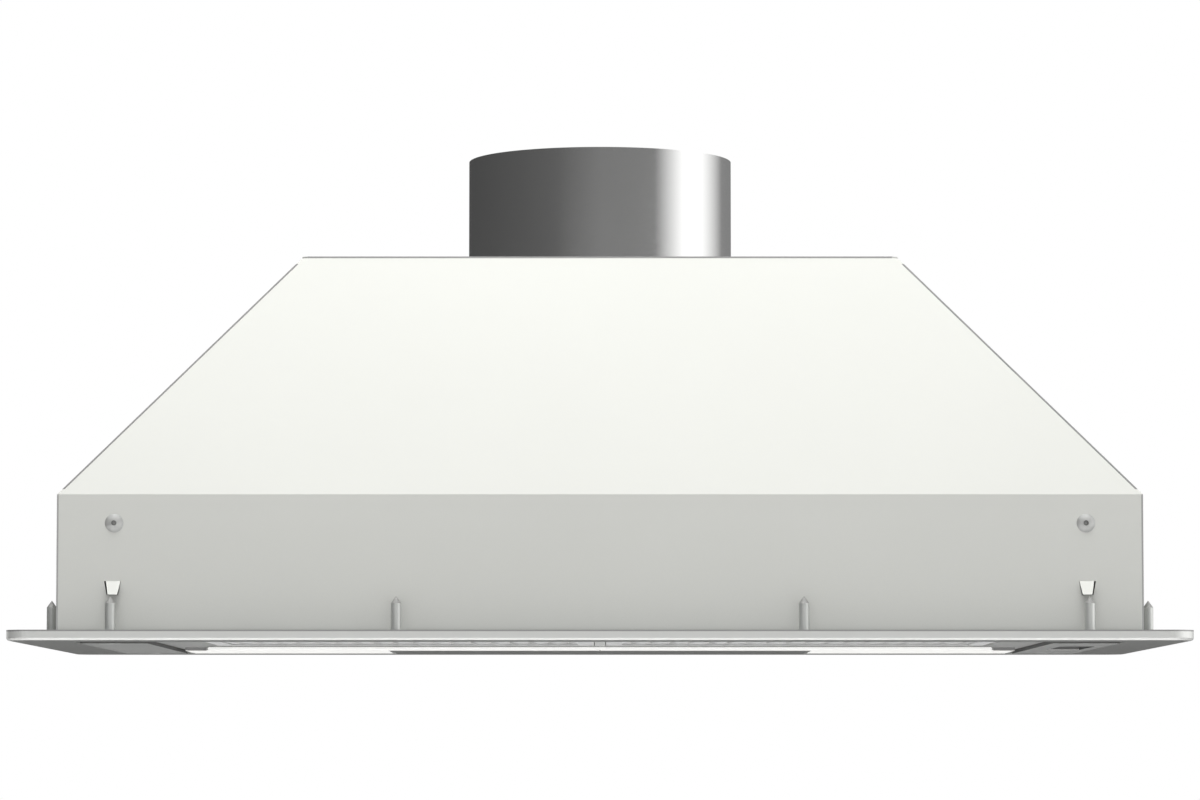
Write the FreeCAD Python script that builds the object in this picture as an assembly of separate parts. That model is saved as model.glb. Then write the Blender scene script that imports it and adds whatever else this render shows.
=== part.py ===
import FreeCAD, Part
import math
import os

"""Built-in range hood: a sheet-metal canopy on a flanged bottom pan.

Millimetres, +Z up, +Y to the rear.  The origin is the middle of the pan's
underside, which is also the lowest plane of the hood.
"""

V = FreeCAD.Vector
X_AXIS = V(1, 0, 0)
Y_AXIS = V(0, 1, 0)
Z_AXIS = V(0, 0, 1)

# Bottom pan and its turned-up lip
FLANGE_W = 635.0
FLANGE_D = 366.0
LIP_H = 5.7
PAN_SHEET = 1.0
CORNER_R = 12.0
LIP_EDGE_R = 1.6
BORDER = 33.0
RECESS = 2.1

# Canopy
FLANGE_MARGIN = 25.0
SHEET = 1.0
BOX_TOP = 79.2
HOOD_TOP = 214.1
TOP_W = 329.5
TOP_D = 196.0
HIP_CLIP_H = 0.6
HIP_CLIP_IN = 1.0
TOP_CLIP = 3.2
HIP_LAP = 2.0
HIP_NOTCH_H = 2.8
HIP_NOTCH_TOP = 3.3
HIP_NOTCH_IN = 1.5

# Mounting frame that carries the canopy inside the pan's lip
FRAME_GAP = 0.2
FRAME_LEDGE = 5.0
FRAME_JOGGLE = 0.5
FRAME_SEAT_GAP = 0.3

# Flange screws
SCREW_R = 2.8
SCREW_NECK_R = 2.7
SCREW_TIP_Z = 24.0
SCREW_POINT = 3.9
SCREW_HEAD_R = 4.5
SCREW_HEAD_H = 2.2
SCREW_INSET = 12.5
SCREW_END_INSET = 55.3
SCREW_INNER_X = 109.2
SIDE_SCREW_INSET = 15.8
SIDE_SCREW_END_INSET = 87.0
HOLE_CLEAR = 0.1

# Rivets, corner brackets and snap tabs
RIVET_INSET = 30.9
RIVET_Z = 63.7
RIVET_HEAD_R = 5.0
RIVET_HEAD_H = 1.7
RIVET_SHANK_R = 2.4
RIVET_MANDREL_R = 1.4
RIVET_TAIL = 3.0
BRACKET_W = 41.5
BRACKET_LEG = 37.0
BRACKET_TOP = 74.0
TAB_INSET = 30.6
TAB_TOP_Z = 32.4
TAB_LENGTH = 8.4
TAB_TOP_W = 8.0
TAB_END_W = 5.0
TAB_ANGLE = 30.0
TAB_ROOT = 0.6
TAB_GAP = 0.15
TAB_OUTER_GAP = 0.8
TAB_RELIEF = 4.0

# Duct collar and back-draught damper
COLLAR_OD = 150.0
COLLAR_WALL = 0.8
COLLAR_H = 63.9
COLLAR_RING_R = 86.0
COLLAR_FOOT_R = 74.9
COLLAR_HOLE_INSET = 3.0
COLLAR_SCREW_PCD = 160.0
COLLAR_SCREW_R = 1.6
COLLAR_SCREW_HEAD_R = 3.2
COLLAR_SCREW_HEAD_H = 1.8
DAMPER_LIFT = 11.9
DAMPER_PIN_R = 2.0
DAMPER_RUN = 0.05
FLAP_GAP = 1.6
FLAP_SHEET = 0.8
KNUCKLE_WALL = 0.95
KNUCKLE_LENGTH = 20.0
KNUCKLE_STEP = 22.0
KNUCKLE_GAP = 0.3
STOP_REACH = 4.0
STOP_W = 8.0
STOP_SHEET = 1.0
STOP_CLEAR = 0.3

# Blower: a scroll of four arcs about a cross shaft
BLOWER_HALF_W = 50.0
BLOWER_WALL = 1.2
SCROLL_REAR = 110.0
SCROLL_Z = 112.0
SCROLL_R = 94.0
SCROLL_STEP = 8.0
TONGUE_FORWARD = 10.0
INLET_R = 46.0
INLET_LIP = 4.0
OUTLET_FLANGE = 66.0

# Impeller
FAN_BEHIND = 3.0
FAN_BELOW = 4.0
FAN_R = 58.0
FAN_INNER_R = 47.0
FAN_HALF_W = 44.0
FAN_RING = 2.0
FAN_DISC = 2.0
FAN_BLADES = 30
FAN_BLADE_T = 1.0
FAN_BLADE_ANGLE = 25.0
HUB_R = 12.0
HUB_FRONT = 14.0
HUB_REAR = 4.0

# Motor
MOTOR_R = 36.0
MOTOR_WALL = 2.0
MOTOR_LEFT = -58.0
MOTOR_RIGHT = -10.0
BELL_T = 2.0
SHAFT_R = 4.0
SHAFT_FIT = 0.02
BEARING_R = 9.0
BEARING_T = 5.0
BEARING_BOSS_R = 12.0
STATOR_IN_R = 22.0
STATOR_GAP = 0.1
ROTOR_GAP = 0.5
STACK_INSET = 10.0
BRACKET_RING = 3.0
BRACKET_ARM_W = 10.0
BRACKET_ARM_R = 58.0
BRACKET_T = 2.0

# Electrical pieces on the rear panel
CAP_R = 12.0
CAP_LENGTH = 44.0
CAP_X = -138.0
CAP_Z = 60.0
CAP_OFF = 1.0
CAP_FOOT = (20.0, 16.0)
JBOX_BESIDE = 24.0
JBOX_W = 90.0
JBOX_DEPTH = 39.0
JBOX_Z = (42.0, 76.0)
JBOX_WALL = 1.0
JBOX_LID_OVER = 1.0
TERMINAL = (40.0, 14.0, 10.0)
TERMINAL_LIFT = 1.0
GLAND_Z = 66.0
GLAND_R = 7.9
GLAND_BORE_R = 4.5
GLAND_HEAD_R = 11.0
GLAND_HEAD_T = 5.0
GLAND_NUT_R = 9.0
GLAND_NUT_T = 6.0
LEAD_R = 2.5
LEAD_BEND = 12.0

# Grease filters
FILTER_SIDE_RAIL = 62.5
FILTER_FRONT_RAIL = 16.0
FILTER_REAR_RAIL = 6.0
MULLION = 6.0
FILTER_CLEAR = 1.0
FILTER_SIDE_CLEAR = 0.5
FILTER_REAR_CLEAR = 2.0
FILTER_BOTTOM = 2.4
FILTER_T = 9.0
FILTER_WALL = 1.0
FILTER_RIM = 9.0
FILTER_FRONT_RIM = 16.0
NET_T = 0.8
NET_FIT = 0.1
NET_GRIP = 5.0
NET_COLUMNS = 18
NET_ROWS = 14
NET_STRAND = 2.2
PIVOT_R = 2.0
PIVOT_RUN = 0.05
PIVOT_BACK = 5.0
PIVOT_Z = 6.5
PIVOT_END_GAP = 0.6
EAR_T = 3.0
EAR_W = 9.0
EAR_TOP = 10.5

# Filter latches
LATCH_W = 24.0
LATCH_DEPTH = 4.6
LATCH_H = 5.0
LATCH_GAP = 0.3
LATCH_TRAVEL = 4.5
TONGUE_W = 15.0
TONGUE_T = 1.2
TONGUE_REACH = 3.2
TONGUE_FLOOR = 4.2
THUMB_W = 14.0
THUMB_T = 3.0
THUMB_BOTTOM = 0.6
SLOT_CLEAR = 0.4
KEEPER_W = 12.0
KEEPER_T = 0.8
KEEPER_LAP = 1.0
KEEPER_FOOT = 8.0
NOTCH_W = 24.0
NOTCH_D = 7.0

# Covers let into the recess of the pan
COVER_W = 36.5
COVER_GAP = 0.4
COVER_FRONT = 37.0
REAR_STRIP_D = 96.0
COVER_SCREW_R = 1.4
COVER_SCREW_HEAD_R = 2.8
COVER_SCREW_TIP = 9.0
COVER_SCREW_INSET = 8.0

# Lamps
LENS_GAP = 2.0
LENS_W = 92.0
LENS_SIDE = 68.5
LENS_SHOULDER = 11.6
LENS_SLANT = 3.0
LENS_TAIL = 27.0
LENS_CLIP = 24.0
LENS_ARM = 19.5
LENS_SEAM = 0.2
LENS_BOTTOM = 0.1
LENS_EDGE_R = 0.4
LENS_REAR_GAP = 0.5
LAMP_LAP = 5.0
REFLECTOR_INSET = 2.0
REFLECTOR_TOP = 36.0
REFLECTOR_WALL = 0.8
SOCKET_R = 8.0
SOCKET_LENGTH = 23.0
BULB_R = 13.0
BULB_NECK_R = 7.0
BULB_NECK = 14.0
LAMP_AXIS_Z = 20.0

# Switches
SWITCH_OFFSET = 2.4
SWITCH_BACK = 74.0
SWITCH_LENGTH = 91.0
SWITCH_WELL_W = 19.5
SWITCH_WALL = 1.5
SWITCH_TOP = 24.0
SWITCH_FLANGE = 2.5
SWITCH_DIVIDER = 2.0
SWITCH_ROOF = 2.0
SWITCH_FIT = 0.5
ROCKER_GAP = 0.6
ROCKER_FACE = 2.4
ROCKER_BACK = 8.2
ROCKER_AXIS_Z = 7.0
ROCKER_TILT = 5.0
ROCKER_PIN_R = 1.5
ROCKER_RUN = 0.05
ROCKER_PIN_IN = 0.9

# Sizes that follow from the ones above
BODY_W = FLANGE_W - 2 * FLANGE_MARGIN
BODY_D = FLANGE_D - 2 * FLANGE_MARGIN
BODY_X = BODY_W / 2
BODY_Y = BODY_D / 2
SKIRT_Z = LIP_H - FRAME_JOGGLE
RECESS_X = FLANGE_W / 2 - BORDER
RECESS_Y = FLANGE_D / 2 - BORDER
CEILING_Z = RECESS + PAN_SHEET
TOP_UNDER = HOOD_TOP - SHEET
COLLAR_R = COLLAR_OD / 2
COLLAR_TOP = HOOD_TOP + COLLAR_H
DAMPER_Z = HOOD_TOP + DAMPER_LIFT
COLLAR_IR = COLLAR_R - COLLAR_WALL
WALL_Y = BODY_Y - SHEET
RIVET_X = BODY_X - RIVET_INSET
TAB_X = BODY_X - TAB_INSET
SCROLL_Y = BODY_Y - SCROLL_REAR
TONGUE_Y = SCROLL_Y - TONGUE_FORWARD
FAN_Y = SCROLL_Y + FAN_BEHIND
FAN_Z = SCROLL_Z - FAN_BELOW
REAR_STRIP_Y = RECESS_Y - REAR_STRIP_D
FILTER_OPEN_X = RECESS_X - FILTER_SIDE_RAIL
FILTER_OPEN_Y = (-RECESS_Y + FILTER_FRONT_RAIL, REAR_STRIP_Y - FILTER_REAR_RAIL)
FILTER_Y0 = FILTER_OPEN_Y[0] + FILTER_CLEAR
FILTER_Y1 = FILTER_OPEN_Y[1] - FILTER_REAR_CLEAR
FILTER_X0 = MULLION / 2 + FILTER_SIDE_CLEAR
FILTER_X1 = FILTER_OPEN_X - FILTER_SIDE_CLEAR
FILTER_TOP = FILTER_BOTTOM + FILTER_T
FILTER_MID_X = (FILTER_X0 + FILTER_X1) / 2
PIVOT_Y = FILTER_OPEN_Y[1] - PIVOT_BACK
COVER_X1 = RECESS_X - COVER_GAP
COVER_X0 = COVER_X1 - COVER_W
COVER_Y0 = -RECESS_Y + COVER_FRONT
COVER_Y1 = RECESS_Y - COVER_GAP
LENS_X1 = RECESS_X - LENS_SIDE
LENS_X0 = LENS_X1 - LENS_W
CENTRE_HALF_W = LENS_X0 - LENS_GAP
JBOX_X = (LENS_X0 - JBOX_BESIDE, LENS_X0 - JBOX_BESIDE + JBOX_W)
SWITCH_X = (COVER_X0 + COVER_X1) / 2 + SWITCH_OFFSET
SWITCH_Y = (COVER_Y0 + SWITCH_BACK, COVER_Y0 + SWITCH_BACK + SWITCH_LENGTH)
LENS_Y1 = RECESS_Y - LENS_REAR_GAP
SCROLL_LEFT_Y = SCROLL_Y - SCROLL_R


def box(x0, x1, y0, y1, z0, z1):
    """Axis-aligned box between two corners."""
    return Part.makeBox(x1 - x0, y1 - y0, z1 - z0, V(x0, y0, z0))


def rod(radius, start, axis, length):
    """Solid cylinder from a start point along an axis."""
    return Part.makeCylinder(radius, length, start, axis)


def tube(outer, inner, start, axis, length):
    """Hollow cylinder from a start point along an axis."""
    return rod(outer, start, axis, length).cut(rod(inner, start, axis, length))


def prism(points, offset):
    """Polygon of points pushed along an offset."""
    return Part.Face(Part.makePolygon(points + [points[0]])).extrude(offset)


def mirror_x(shape):
    """Copy of a shape on the other side of the YZ plane."""
    return shape.mirror(V(0, 0, 0), X_AXIS)


def mirror_y(shape):
    """Copy of a shape on the other side of the XZ plane."""
    return shape.mirror(V(0, 0, 0), Y_AXIS)


def both_sides(shape):
    """A shape and its mirror image across the YZ plane."""
    return [shape, mirror_x(shape)]


def four_corners(shape):
    """A shape repeated in all four quadrants of the plan."""
    return both_sides(shape) + both_sides(mirror_y(shape))


def cut_all(shape, tools):
    """Shape less each tool."""
    return shape.cut(Part.makeCompound(tools))


def fuse_all(shapes):
    """One solid out of touching shapes."""
    return shapes[0].multiFuse(shapes[1:]).removeSplitter()


def rounded_slab(width, depth, radius, z0, z1):
    """Plate with rounded plan corners, centred on the origin."""
    slab = box(-width / 2, width / 2, -depth / 2, depth / 2, z0, z1)
    upright = [e for e in slab.Edges if abs(e.tangentAt(e.FirstParameter).z) > 0.9]
    return slab.makeFillet(radius, upright)


def soften_bottom(shape, radius):
    """Round the edges of a shape's lowest face."""
    low = shape.BoundBox.ZMin
    edges = [e for e in shape.Edges if e.BoundBox.ZMax < low + 1e-6]
    return shape.makeFillet(radius, edges)


def tray(x0, x1, y0, y1, depth, sheet):
    """Shallow sheet tray, open upwards, standing on z = 0."""
    outer = box(x0, x1, y0, y1, 0, depth)
    return outer.cut(box(x0 + sheet, x1 - sheet, y0 + sheet, y1 - sheet, sheet, depth))


def bent_tube(points, radius, bend):
    """Round tube along straight runs joined by tangent arcs."""
    edges = []
    start = points[0]
    for before, corner, after in zip(points, points[1:], points[2:]):
        back = (before - corner).normalize()
        ahead = (after - corner).normalize()
        tangent = bend / math.tan(back.getAngle(ahead) / 2)
        enter = corner + back * tangent
        leave = corner + ahead * tangent
        middle = corner + (back + ahead).normalize() * (math.hypot(bend, tangent) - bend)
        edges.append(Part.LineSegment(start, enter).toShape())
        edges.append(Part.Arc(enter, middle, leave).toShape())
        start = leave
    edges.append(Part.LineSegment(start, points[-1]).toShape())
    section = Part.Wire(Part.makeCircle(radius, points[0], points[1] - points[0]))
    return Part.Wire(edges).makePipeShell([section], True, False)


# Pan, frame and flange screws

def filter_window(side):
    """Opening in the pan's ceiling for one filter, with its latch notch."""
    window = box(MULLION / 2, FILTER_OPEN_X, FILTER_OPEN_Y[0], FILTER_OPEN_Y[1], RECESS, CEILING_Z)
    notch = box(FILTER_MID_X - NOTCH_W / 2, FILTER_MID_X + NOTCH_W / 2,
                FILTER_OPEN_Y[0] - NOTCH_D, FILTER_OPEN_Y[0], RECESS, CEILING_Z)
    shape = window.fuse(notch)
    return shape if side > 0 else mirror_x(shape)


def lamp_window():
    """Opening in the pan's ceiling above the right-hand lens."""
    return box(LENS_X0 + LAMP_LAP, LENS_X1 - LAMP_LAP,
               REAR_STRIP_Y + LAMP_LAP, LENS_Y1 - LAMP_LAP, RECESS, CEILING_Z)


def switch_window():
    """Opening in the pan's ceiling for the switch housing."""
    half = SWITCH_WELL_W / 2 + SWITCH_WALL + SWITCH_FIT
    grow = SWITCH_WALL + SWITCH_FIT
    return box(SWITCH_X - half, SWITCH_X + half,
               SWITCH_Y[0] - grow, SWITCH_Y[1] + grow, RECESS, CEILING_Z)


def cover_screw_places():
    """Plan places of the four cover screws."""
    middle = (COVER_X0 + COVER_X1) / 2
    rows = (COVER_Y0 + COVER_SCREW_INSET, COVER_Y1 - COVER_SCREW_INSET)
    return [(side * middle, y) for side in (-1, 1) for y in rows]


def bottom_pan():
    """Stamped pan: lip, border, recess walls and ceiling with openings."""
    t = PAN_SHEET
    outer = soften_bottom(rounded_slab(FLANGE_W, FLANGE_D, CORNER_R, 0, LIP_H), LIP_EDGE_R)
    hollow = rounded_slab(FLANGE_W - 2 * t, FLANGE_D - 2 * t, CORNER_R - t, t, LIP_H)
    shell = outer.cut(soften_bottom(hollow, LIP_EDGE_R - t))
    shell = shell.cut(box(-RECESS_X, RECESS_X, -RECESS_Y, RECESS_Y, 0, t))
    step = box(-RECESS_X - t, RECESS_X + t, -RECESS_Y - t, RECESS_Y + t, 0, CEILING_Z)
    step = step.cut(box(-RECESS_X, RECESS_X, -RECESS_Y, RECESS_Y, 0, RECESS))
    pan = fuse_all([shell, step])
    holes = [filter_window(-1), filter_window(1), switch_window()] + both_sides(lamp_window())
    for x, y in cover_screw_places():
        holes.append(rod(COVER_SCREW_R + HOLE_CLEAR, V(x, y, RECESS), Z_AXIS, t))
    return cut_all(pan, holes)


def flange_screw_places():
    """Plan places of the twelve flange screws."""
    row_y = FLANGE_D / 2 - SCREW_INSET
    side_x = FLANGE_W / 2 - SIDE_SCREW_INSET
    places = []
    for sy in (-1, 1):
        for sx in (-1, 1):
            places.append((sx * (FLANGE_W / 2 - SCREW_END_INSET), sy * row_y))
            places.append((sx * SCREW_INNER_X, sy * row_y))
            places.append((sx * side_x, sy * (FLANGE_D / 2 - SIDE_SCREW_END_INSET)))
    return places


def mounting_frame():
    """Flat frame inside the lip, with a turned-down inner leg on the pan."""
    inset = PAN_SHEET + FRAME_GAP
    under = LIP_H - SHEET
    plate = rounded_slab(FLANGE_W - 2 * inset, FLANGE_D - 2 * inset, CORNER_R - inset, under, LIP_H)
    in_x = BODY_X - FRAME_LEDGE
    in_y = BODY_Y - FRAME_LEDGE
    plate = plate.cut(box(-in_x, in_x, -in_y, in_y, under, LIP_H))
    seat_x = BODY_X + FRAME_SEAT_GAP
    seat_y = BODY_Y + FRAME_SEAT_GAP
    plate = plate.cut(box(-seat_x, seat_x, -seat_y, seat_y, SKIRT_Z, LIP_H))
    leg = box(-in_x - SHEET, in_x + SHEET, -in_y - SHEET, in_y + SHEET, PAN_SHEET, under)
    leg = leg.cut(box(-in_x, in_x, -in_y, in_y, PAN_SHEET, under))
    frame = fuse_all([plate, leg])
    holes = [rod(SCREW_R + HOLE_CLEAR, V(x, y, under), Z_AXIS, SHEET) for x, y in flange_screw_places()]
    return cut_all(frame, holes)


def flange_screws():
    """Twelve pointed screws that stand up out of the flange."""
    seat = LIP_H - SHEET
    neck = SCREW_TIP_Z - SCREW_POINT
    screws = []
    for x, y in flange_screw_places():
        head = rod(SCREW_HEAD_R, V(x, y, seat - SCREW_HEAD_H), Z_AXIS, SCREW_HEAD_H)
        throat = Part.makeCone(SCREW_NECK_R, SCREW_R, SHEET, V(x, y, seat), Z_AXIS)
        shank = rod(SCREW_R, V(x, y, LIP_H), Z_AXIS, neck - LIP_H)
        point = Part.makeCone(SCREW_R, 0, SCREW_POINT, V(x, y, neck), Z_AXIS)
        screws.append(fuse_all([head, throat, shank, point]))
    return Part.makeCompound(screws)


# Canopy

def hip(z):
    """Half width and half depth of the canopy's slopes at a height."""
    share = (z - BOX_TOP) / (TOP_UNDER - BOX_TOP)
    return (BODY_X + share * (TOP_W / 2 - BODY_X), BODY_Y + share * (TOP_D / 2 - BODY_Y))


def front_inward():
    """Unit normal of the front slope, into the canopy."""
    return V(0, TOP_UNDER - BOX_TOP, hip(TOP_UNDER)[1] - BODY_Y).normalize()


def front_slope():
    """Sloping part of the front panel, clipped at its top corners."""
    clip_x, clip_y = hip(TOP_UNDER - HIP_CLIP_H)
    top_x, top_y = hip(TOP_UNDER)
    right = [V(BODY_X, -BODY_Y, BOX_TOP), V(clip_x, -clip_y, TOP_UNDER - HIP_CLIP_H),
             V(top_x - HIP_CLIP_IN, -top_y, TOP_UNDER)]
    left = [V(-p.x, p.y, p.z) for p in reversed(right)]
    return prism(right + left, front_inward() * SHEET)


def front_outside():
    """Space in front of the front panel's outer faces, near the canopy."""
    wide = BODY_X + HIP_LAP
    low = BOX_TOP - HIP_LAP
    high = TOP_UNDER + HIP_LAP
    low_y = hip(low)[1]
    high_y = hip(high)[1]
    corners = [V(-wide, -low_y, low), V(wide, -low_y, low), V(wide, -high_y, high), V(-wide, -high_y, high)]
    above = prism(corners, front_inward() * (-2 * HIP_LAP))
    below = box(-wide, wide, -BODY_Y - 2 * HIP_LAP, -BODY_Y, SKIRT_Z, BOX_TOP)
    return [above, below]


def side_slope():
    """Sloping part of the right side panel; its cut edges lie flush in the front and rear slopes."""
    top_x, top_y = hip(TOP_UNDER)
    rear = [V(BODY_X, BODY_Y + HIP_LAP, BOX_TOP), V(top_x, top_y + HIP_LAP, TOP_UNDER)]
    front = [V(p.x, -p.y, p.z) for p in reversed(rear)]
    inward = V(BOX_TOP - TOP_UNDER, 0, top_x - BODY_X).normalize()
    outside = front_outside()
    return cut_all(prism(rear + front, inward * SHEET), outside + [mirror_y(piece) for piece in outside])


def front_skirt():
    """Upright part of the front panel, between the side panels."""
    reach = BODY_X - SHEET
    return box(-reach, reach, -BODY_Y, -WALL_Y, SKIRT_Z, BOX_TOP)


def hip_notches():
    """Relief notches at the two ends of the right side panel's hip edges."""
    notches = []
    for low, high in ((BOX_TOP, BOX_TOP + HIP_NOTCH_H), (TOP_UNDER - HIP_NOTCH_TOP, TOP_UNDER)):
        outer_x, outer_y = hip(low)
        edge_y = hip(high)[1] - HIP_NOTCH_IN
        notch = box(0, outer_x, edge_y, outer_y, low, high)
        notches += [notch, mirror_y(notch)]
    return notches


def side_panel():
    """Right side panel: upright skirt and slope in one folded sheet."""
    skirt = box(BODY_X - SHEET, BODY_X, -BODY_Y, BODY_Y, SKIRT_Z, BOX_TOP)
    return cut_all(fuse_all([skirt, side_slope()]), hip_notches())


def snap_tab():
    """Trapezoid spring tab lanced out of the front panel, free end down."""
    def outline(top_w, end_w, length, root):
        right = [V(top_w / 2, 0, root), V(end_w / 2, 0, -length)]
        return right + [V(-p.x, 0, p.z) for p in reversed(right)]
    hinge = V(TAB_X, -BODY_Y, TAB_TOP_Z)
    tab = prism(outline(TAB_TOP_W, TAB_END_W, TAB_LENGTH, TAB_ROOT), V(0, SHEET, 0))
    tab.rotate(V(0, 0, 0), X_AXIS, -TAB_ANGLE)
    tab.translate(hinge)
    drop = TAB_LENGTH * math.cos(math.radians(TAB_ANGLE)) + TAB_GAP
    slot = prism(outline(TAB_TOP_W + 2 * TAB_GAP, TAB_END_W + 2 * TAB_GAP, drop, 0), V(0, SHEET, 0))
    slot.translate(hinge)
    outer = slot.copy()
    outer.translate(V(TAB_OUTER_GAP, 0, 0))
    return tab, slot.fuse(outer)


def rivet_hole():
    """Hole through the front panel and its bracket for the right rivet."""
    return rod(RIVET_SHANK_R + HOLE_CLEAR, V(RIVET_X, -BODY_Y, RIVET_Z), Y_AXIS, 2 * SHEET)


def front_panel(side):
    """Front panel: skirt, slope, snap tabs and rivet holes."""
    sheet = fuse_all([front_skirt(), front_slope()])
    sheet = cut_all(sheet, both_sides(side))
    tab, slot = snap_tab()
    sheet = cut_all(sheet, both_sides(slot) + both_sides(rivet_hole()))
    return fuse_all([sheet] + both_sides(tab))


def rear_panel(front):
    """Rear panel: the front panel turned round, with the gland hole."""
    gland_x = sum(JBOX_X) / 2
    hole = rod(GLAND_R + HOLE_CLEAR, V(gland_x, WALL_Y, GLAND_Z), Y_AXIS, SHEET)
    return mirror_y(front).cut(hole)


def top_plate():
    """Flat top with clipped corners and the duct opening."""
    x = TOP_W / 2
    y = TOP_D / 2
    c = TOP_CLIP
    quarter = [V(x, y - c, TOP_UNDER), V(x - c, y, TOP_UNDER)]
    points = quarter + [V(-p.x, p.y, p.z) for p in reversed(quarter)]
    points += [V(-p.x, -p.y, p.z) for p in points]
    plate = prism(points, V(0, 0, SHEET))
    hole = rod(COLLAR_R - COLLAR_HOLE_INSET, V(0, 0, TOP_UNDER), Z_AXIS, SHEET)
    return cut_all(plate, [hole] + collar_screw_holes(TOP_UNDER, SHEET))


def corner_brackets():
    """Four inside angle brackets that tie front and rear to the sides."""
    inner_x = BODY_X - SHEET
    face = box(inner_x - BRACKET_W, inner_x, -WALL_Y, -WALL_Y + SHEET, SKIRT_Z, BRACKET_TOP)
    leg = box(inner_x - SHEET, inner_x, -WALL_Y, -WALL_Y + BRACKET_LEG, SKIRT_Z, BRACKET_TOP)
    relief = box(TAB_X - TAB_TOP_W, TAB_X + TAB_TOP_W, -WALL_Y, -WALL_Y + SHEET,
                 TAB_TOP_Z - TAB_LENGTH - TAB_RELIEF, TAB_TOP_Z + TAB_RELIEF)
    bracket = cut_all(fuse_all([face, leg]), [relief, rivet_hole()])
    return Part.makeCompound(four_corners(bracket))


def body_rivets():
    """Domed blind rivets with an open mandrel hole."""
    seat = V(RIVET_X, -BODY_Y, RIVET_Z)
    bulge = (RIVET_HEAD_R ** 2 + RIVET_HEAD_H ** 2) / (2 * RIVET_HEAD_H)
    ball = Part.makeSphere(bulge, seat + V(0, bulge - RIVET_HEAD_H, 0))
    dome = ball.common(rod(RIVET_HEAD_R, seat, -Y_AXIS, RIVET_HEAD_H))
    shank = rod(RIVET_SHANK_R, seat, Y_AXIS, RIVET_TAIL)
    pit = rod(RIVET_MANDREL_R, seat - V(0, RIVET_HEAD_H, 0), Y_AXIS, RIVET_HEAD_H)
    return Part.makeCompound(four_corners(fuse_all([dome, shank]).cut(pit)))


# Duct collar and damper

def collar_screw_places():
    """Plan places of the collar's four screws."""
    reach = COLLAR_SCREW_PCD / 2 * math.sqrt(0.5)
    return [(sx * reach, sy * reach) for sx in (-1, 1) for sy in (-1, 1)]


def collar_screw_holes(z, depth):
    """Clearance holes for the collar screws through one sheet."""
    radius = COLLAR_SCREW_R + HOLE_CLEAR
    return [rod(radius, V(x, y, z), Z_AXIS, depth) for x, y in collar_screw_places()]


def collar_ring():
    """Flat ring round the collar's foot, screwed to the top plate."""
    ring = tube(COLLAR_RING_R, COLLAR_R + DAMPER_RUN, V(0, 0, HOOD_TOP), Z_AXIS, SHEET)
    return cut_all(ring, collar_screw_holes(HOOD_TOP, SHEET))


def duct_collar():
    """Round spigot with a tapered foot, damper pin holes and stops."""
    base = V(0, 0, HOOD_TOP)
    foot = Part.makeCone(COLLAR_FOOT_R, COLLAR_R, SHEET, base, Z_AXIS).cut(rod(COLLAR_IR, base, Z_AXIS, SHEET))
    wall = tube(COLLAR_R, COLLAR_IR, base + V(0, 0, SHEET), Z_AXIS, COLLAR_TOP - HOOD_TOP - SHEET)
    stop_top = DAMPER_Z - FLAP_SHEET / 2 - STOP_CLEAR
    inner = COLLAR_IR - STOP_REACH
    stop = box(-STOP_W / 2, STOP_W / 2, inner, COLLAR_R, stop_top - STOP_SHEET, stop_top)
    stop = stop.common(rod(COLLAR_R, base, Z_AXIS, COLLAR_TOP - HOOD_TOP))
    collar = fuse_all([foot, wall, stop, mirror_y(stop)])
    return collar.cut(rod(DAMPER_PIN_R + DAMPER_RUN, V(-COLLAR_R, 0, DAMPER_Z), X_AXIS, COLLAR_OD))


def collar_screws():
    """Screws through collar ring, top plate and blower flange."""
    seat = HOOD_TOP + SHEET
    screws = []
    for x, y in collar_screw_places():
        head = rod(COLLAR_SCREW_HEAD_R, V(x, y, seat), Z_AXIS, COLLAR_SCREW_HEAD_H)
        shank = rod(COLLAR_SCREW_R, V(x, y, TOP_UNDER - 2 * SHEET), Z_AXIS, seat - TOP_UNDER + 2 * SHEET)
        screws.append(fuse_all([head, shank]))
    return Part.makeCompound(screws)


def damper_pin():
    """Cross pin of the damper, held in the collar's wall."""
    half = COLLAR_R - COLLAR_WALL / 2
    return rod(DAMPER_PIN_R, V(-half, 0, DAMPER_Z), X_AXIS, 2 * half)


def damper_flap(first_knuckle):
    """Front half-disc flap with two knuckles on the cross pin."""
    centre = V(0, 0, DAMPER_Z - FLAP_SHEET / 2)
    knuckle_r = DAMPER_PIN_R + DAMPER_RUN + KNUCKLE_WALL
    edge = knuckle_r + KNUCKLE_GAP
    disc = rod(COLLAR_IR - FLAP_GAP, centre, Z_AXIS, FLAP_SHEET)
    half = disc.common(box(-COLLAR_R, COLLAR_R, -COLLAR_R, -edge, 0, COLLAR_TOP))
    pieces = [half]
    bores = []
    for x in (first_knuckle, first_knuckle + 3 * KNUCKLE_STEP):
        pieces.append(rod(knuckle_r, V(x, 0, DAMPER_Z), X_AXIS, KNUCKLE_LENGTH))
        pieces.append(box(x, x + KNUCKLE_LENGTH, -edge - FLAP_SHEET, -DAMPER_PIN_R,
                          centre.z, centre.z + FLAP_SHEET))
        bores.append(rod(DAMPER_PIN_R + DAMPER_RUN, V(x, 0, DAMPER_Z), X_AXIS, KNUCKLE_LENGTH))
    return cut_all(fuse_all(pieces), bores)


# Blower

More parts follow.
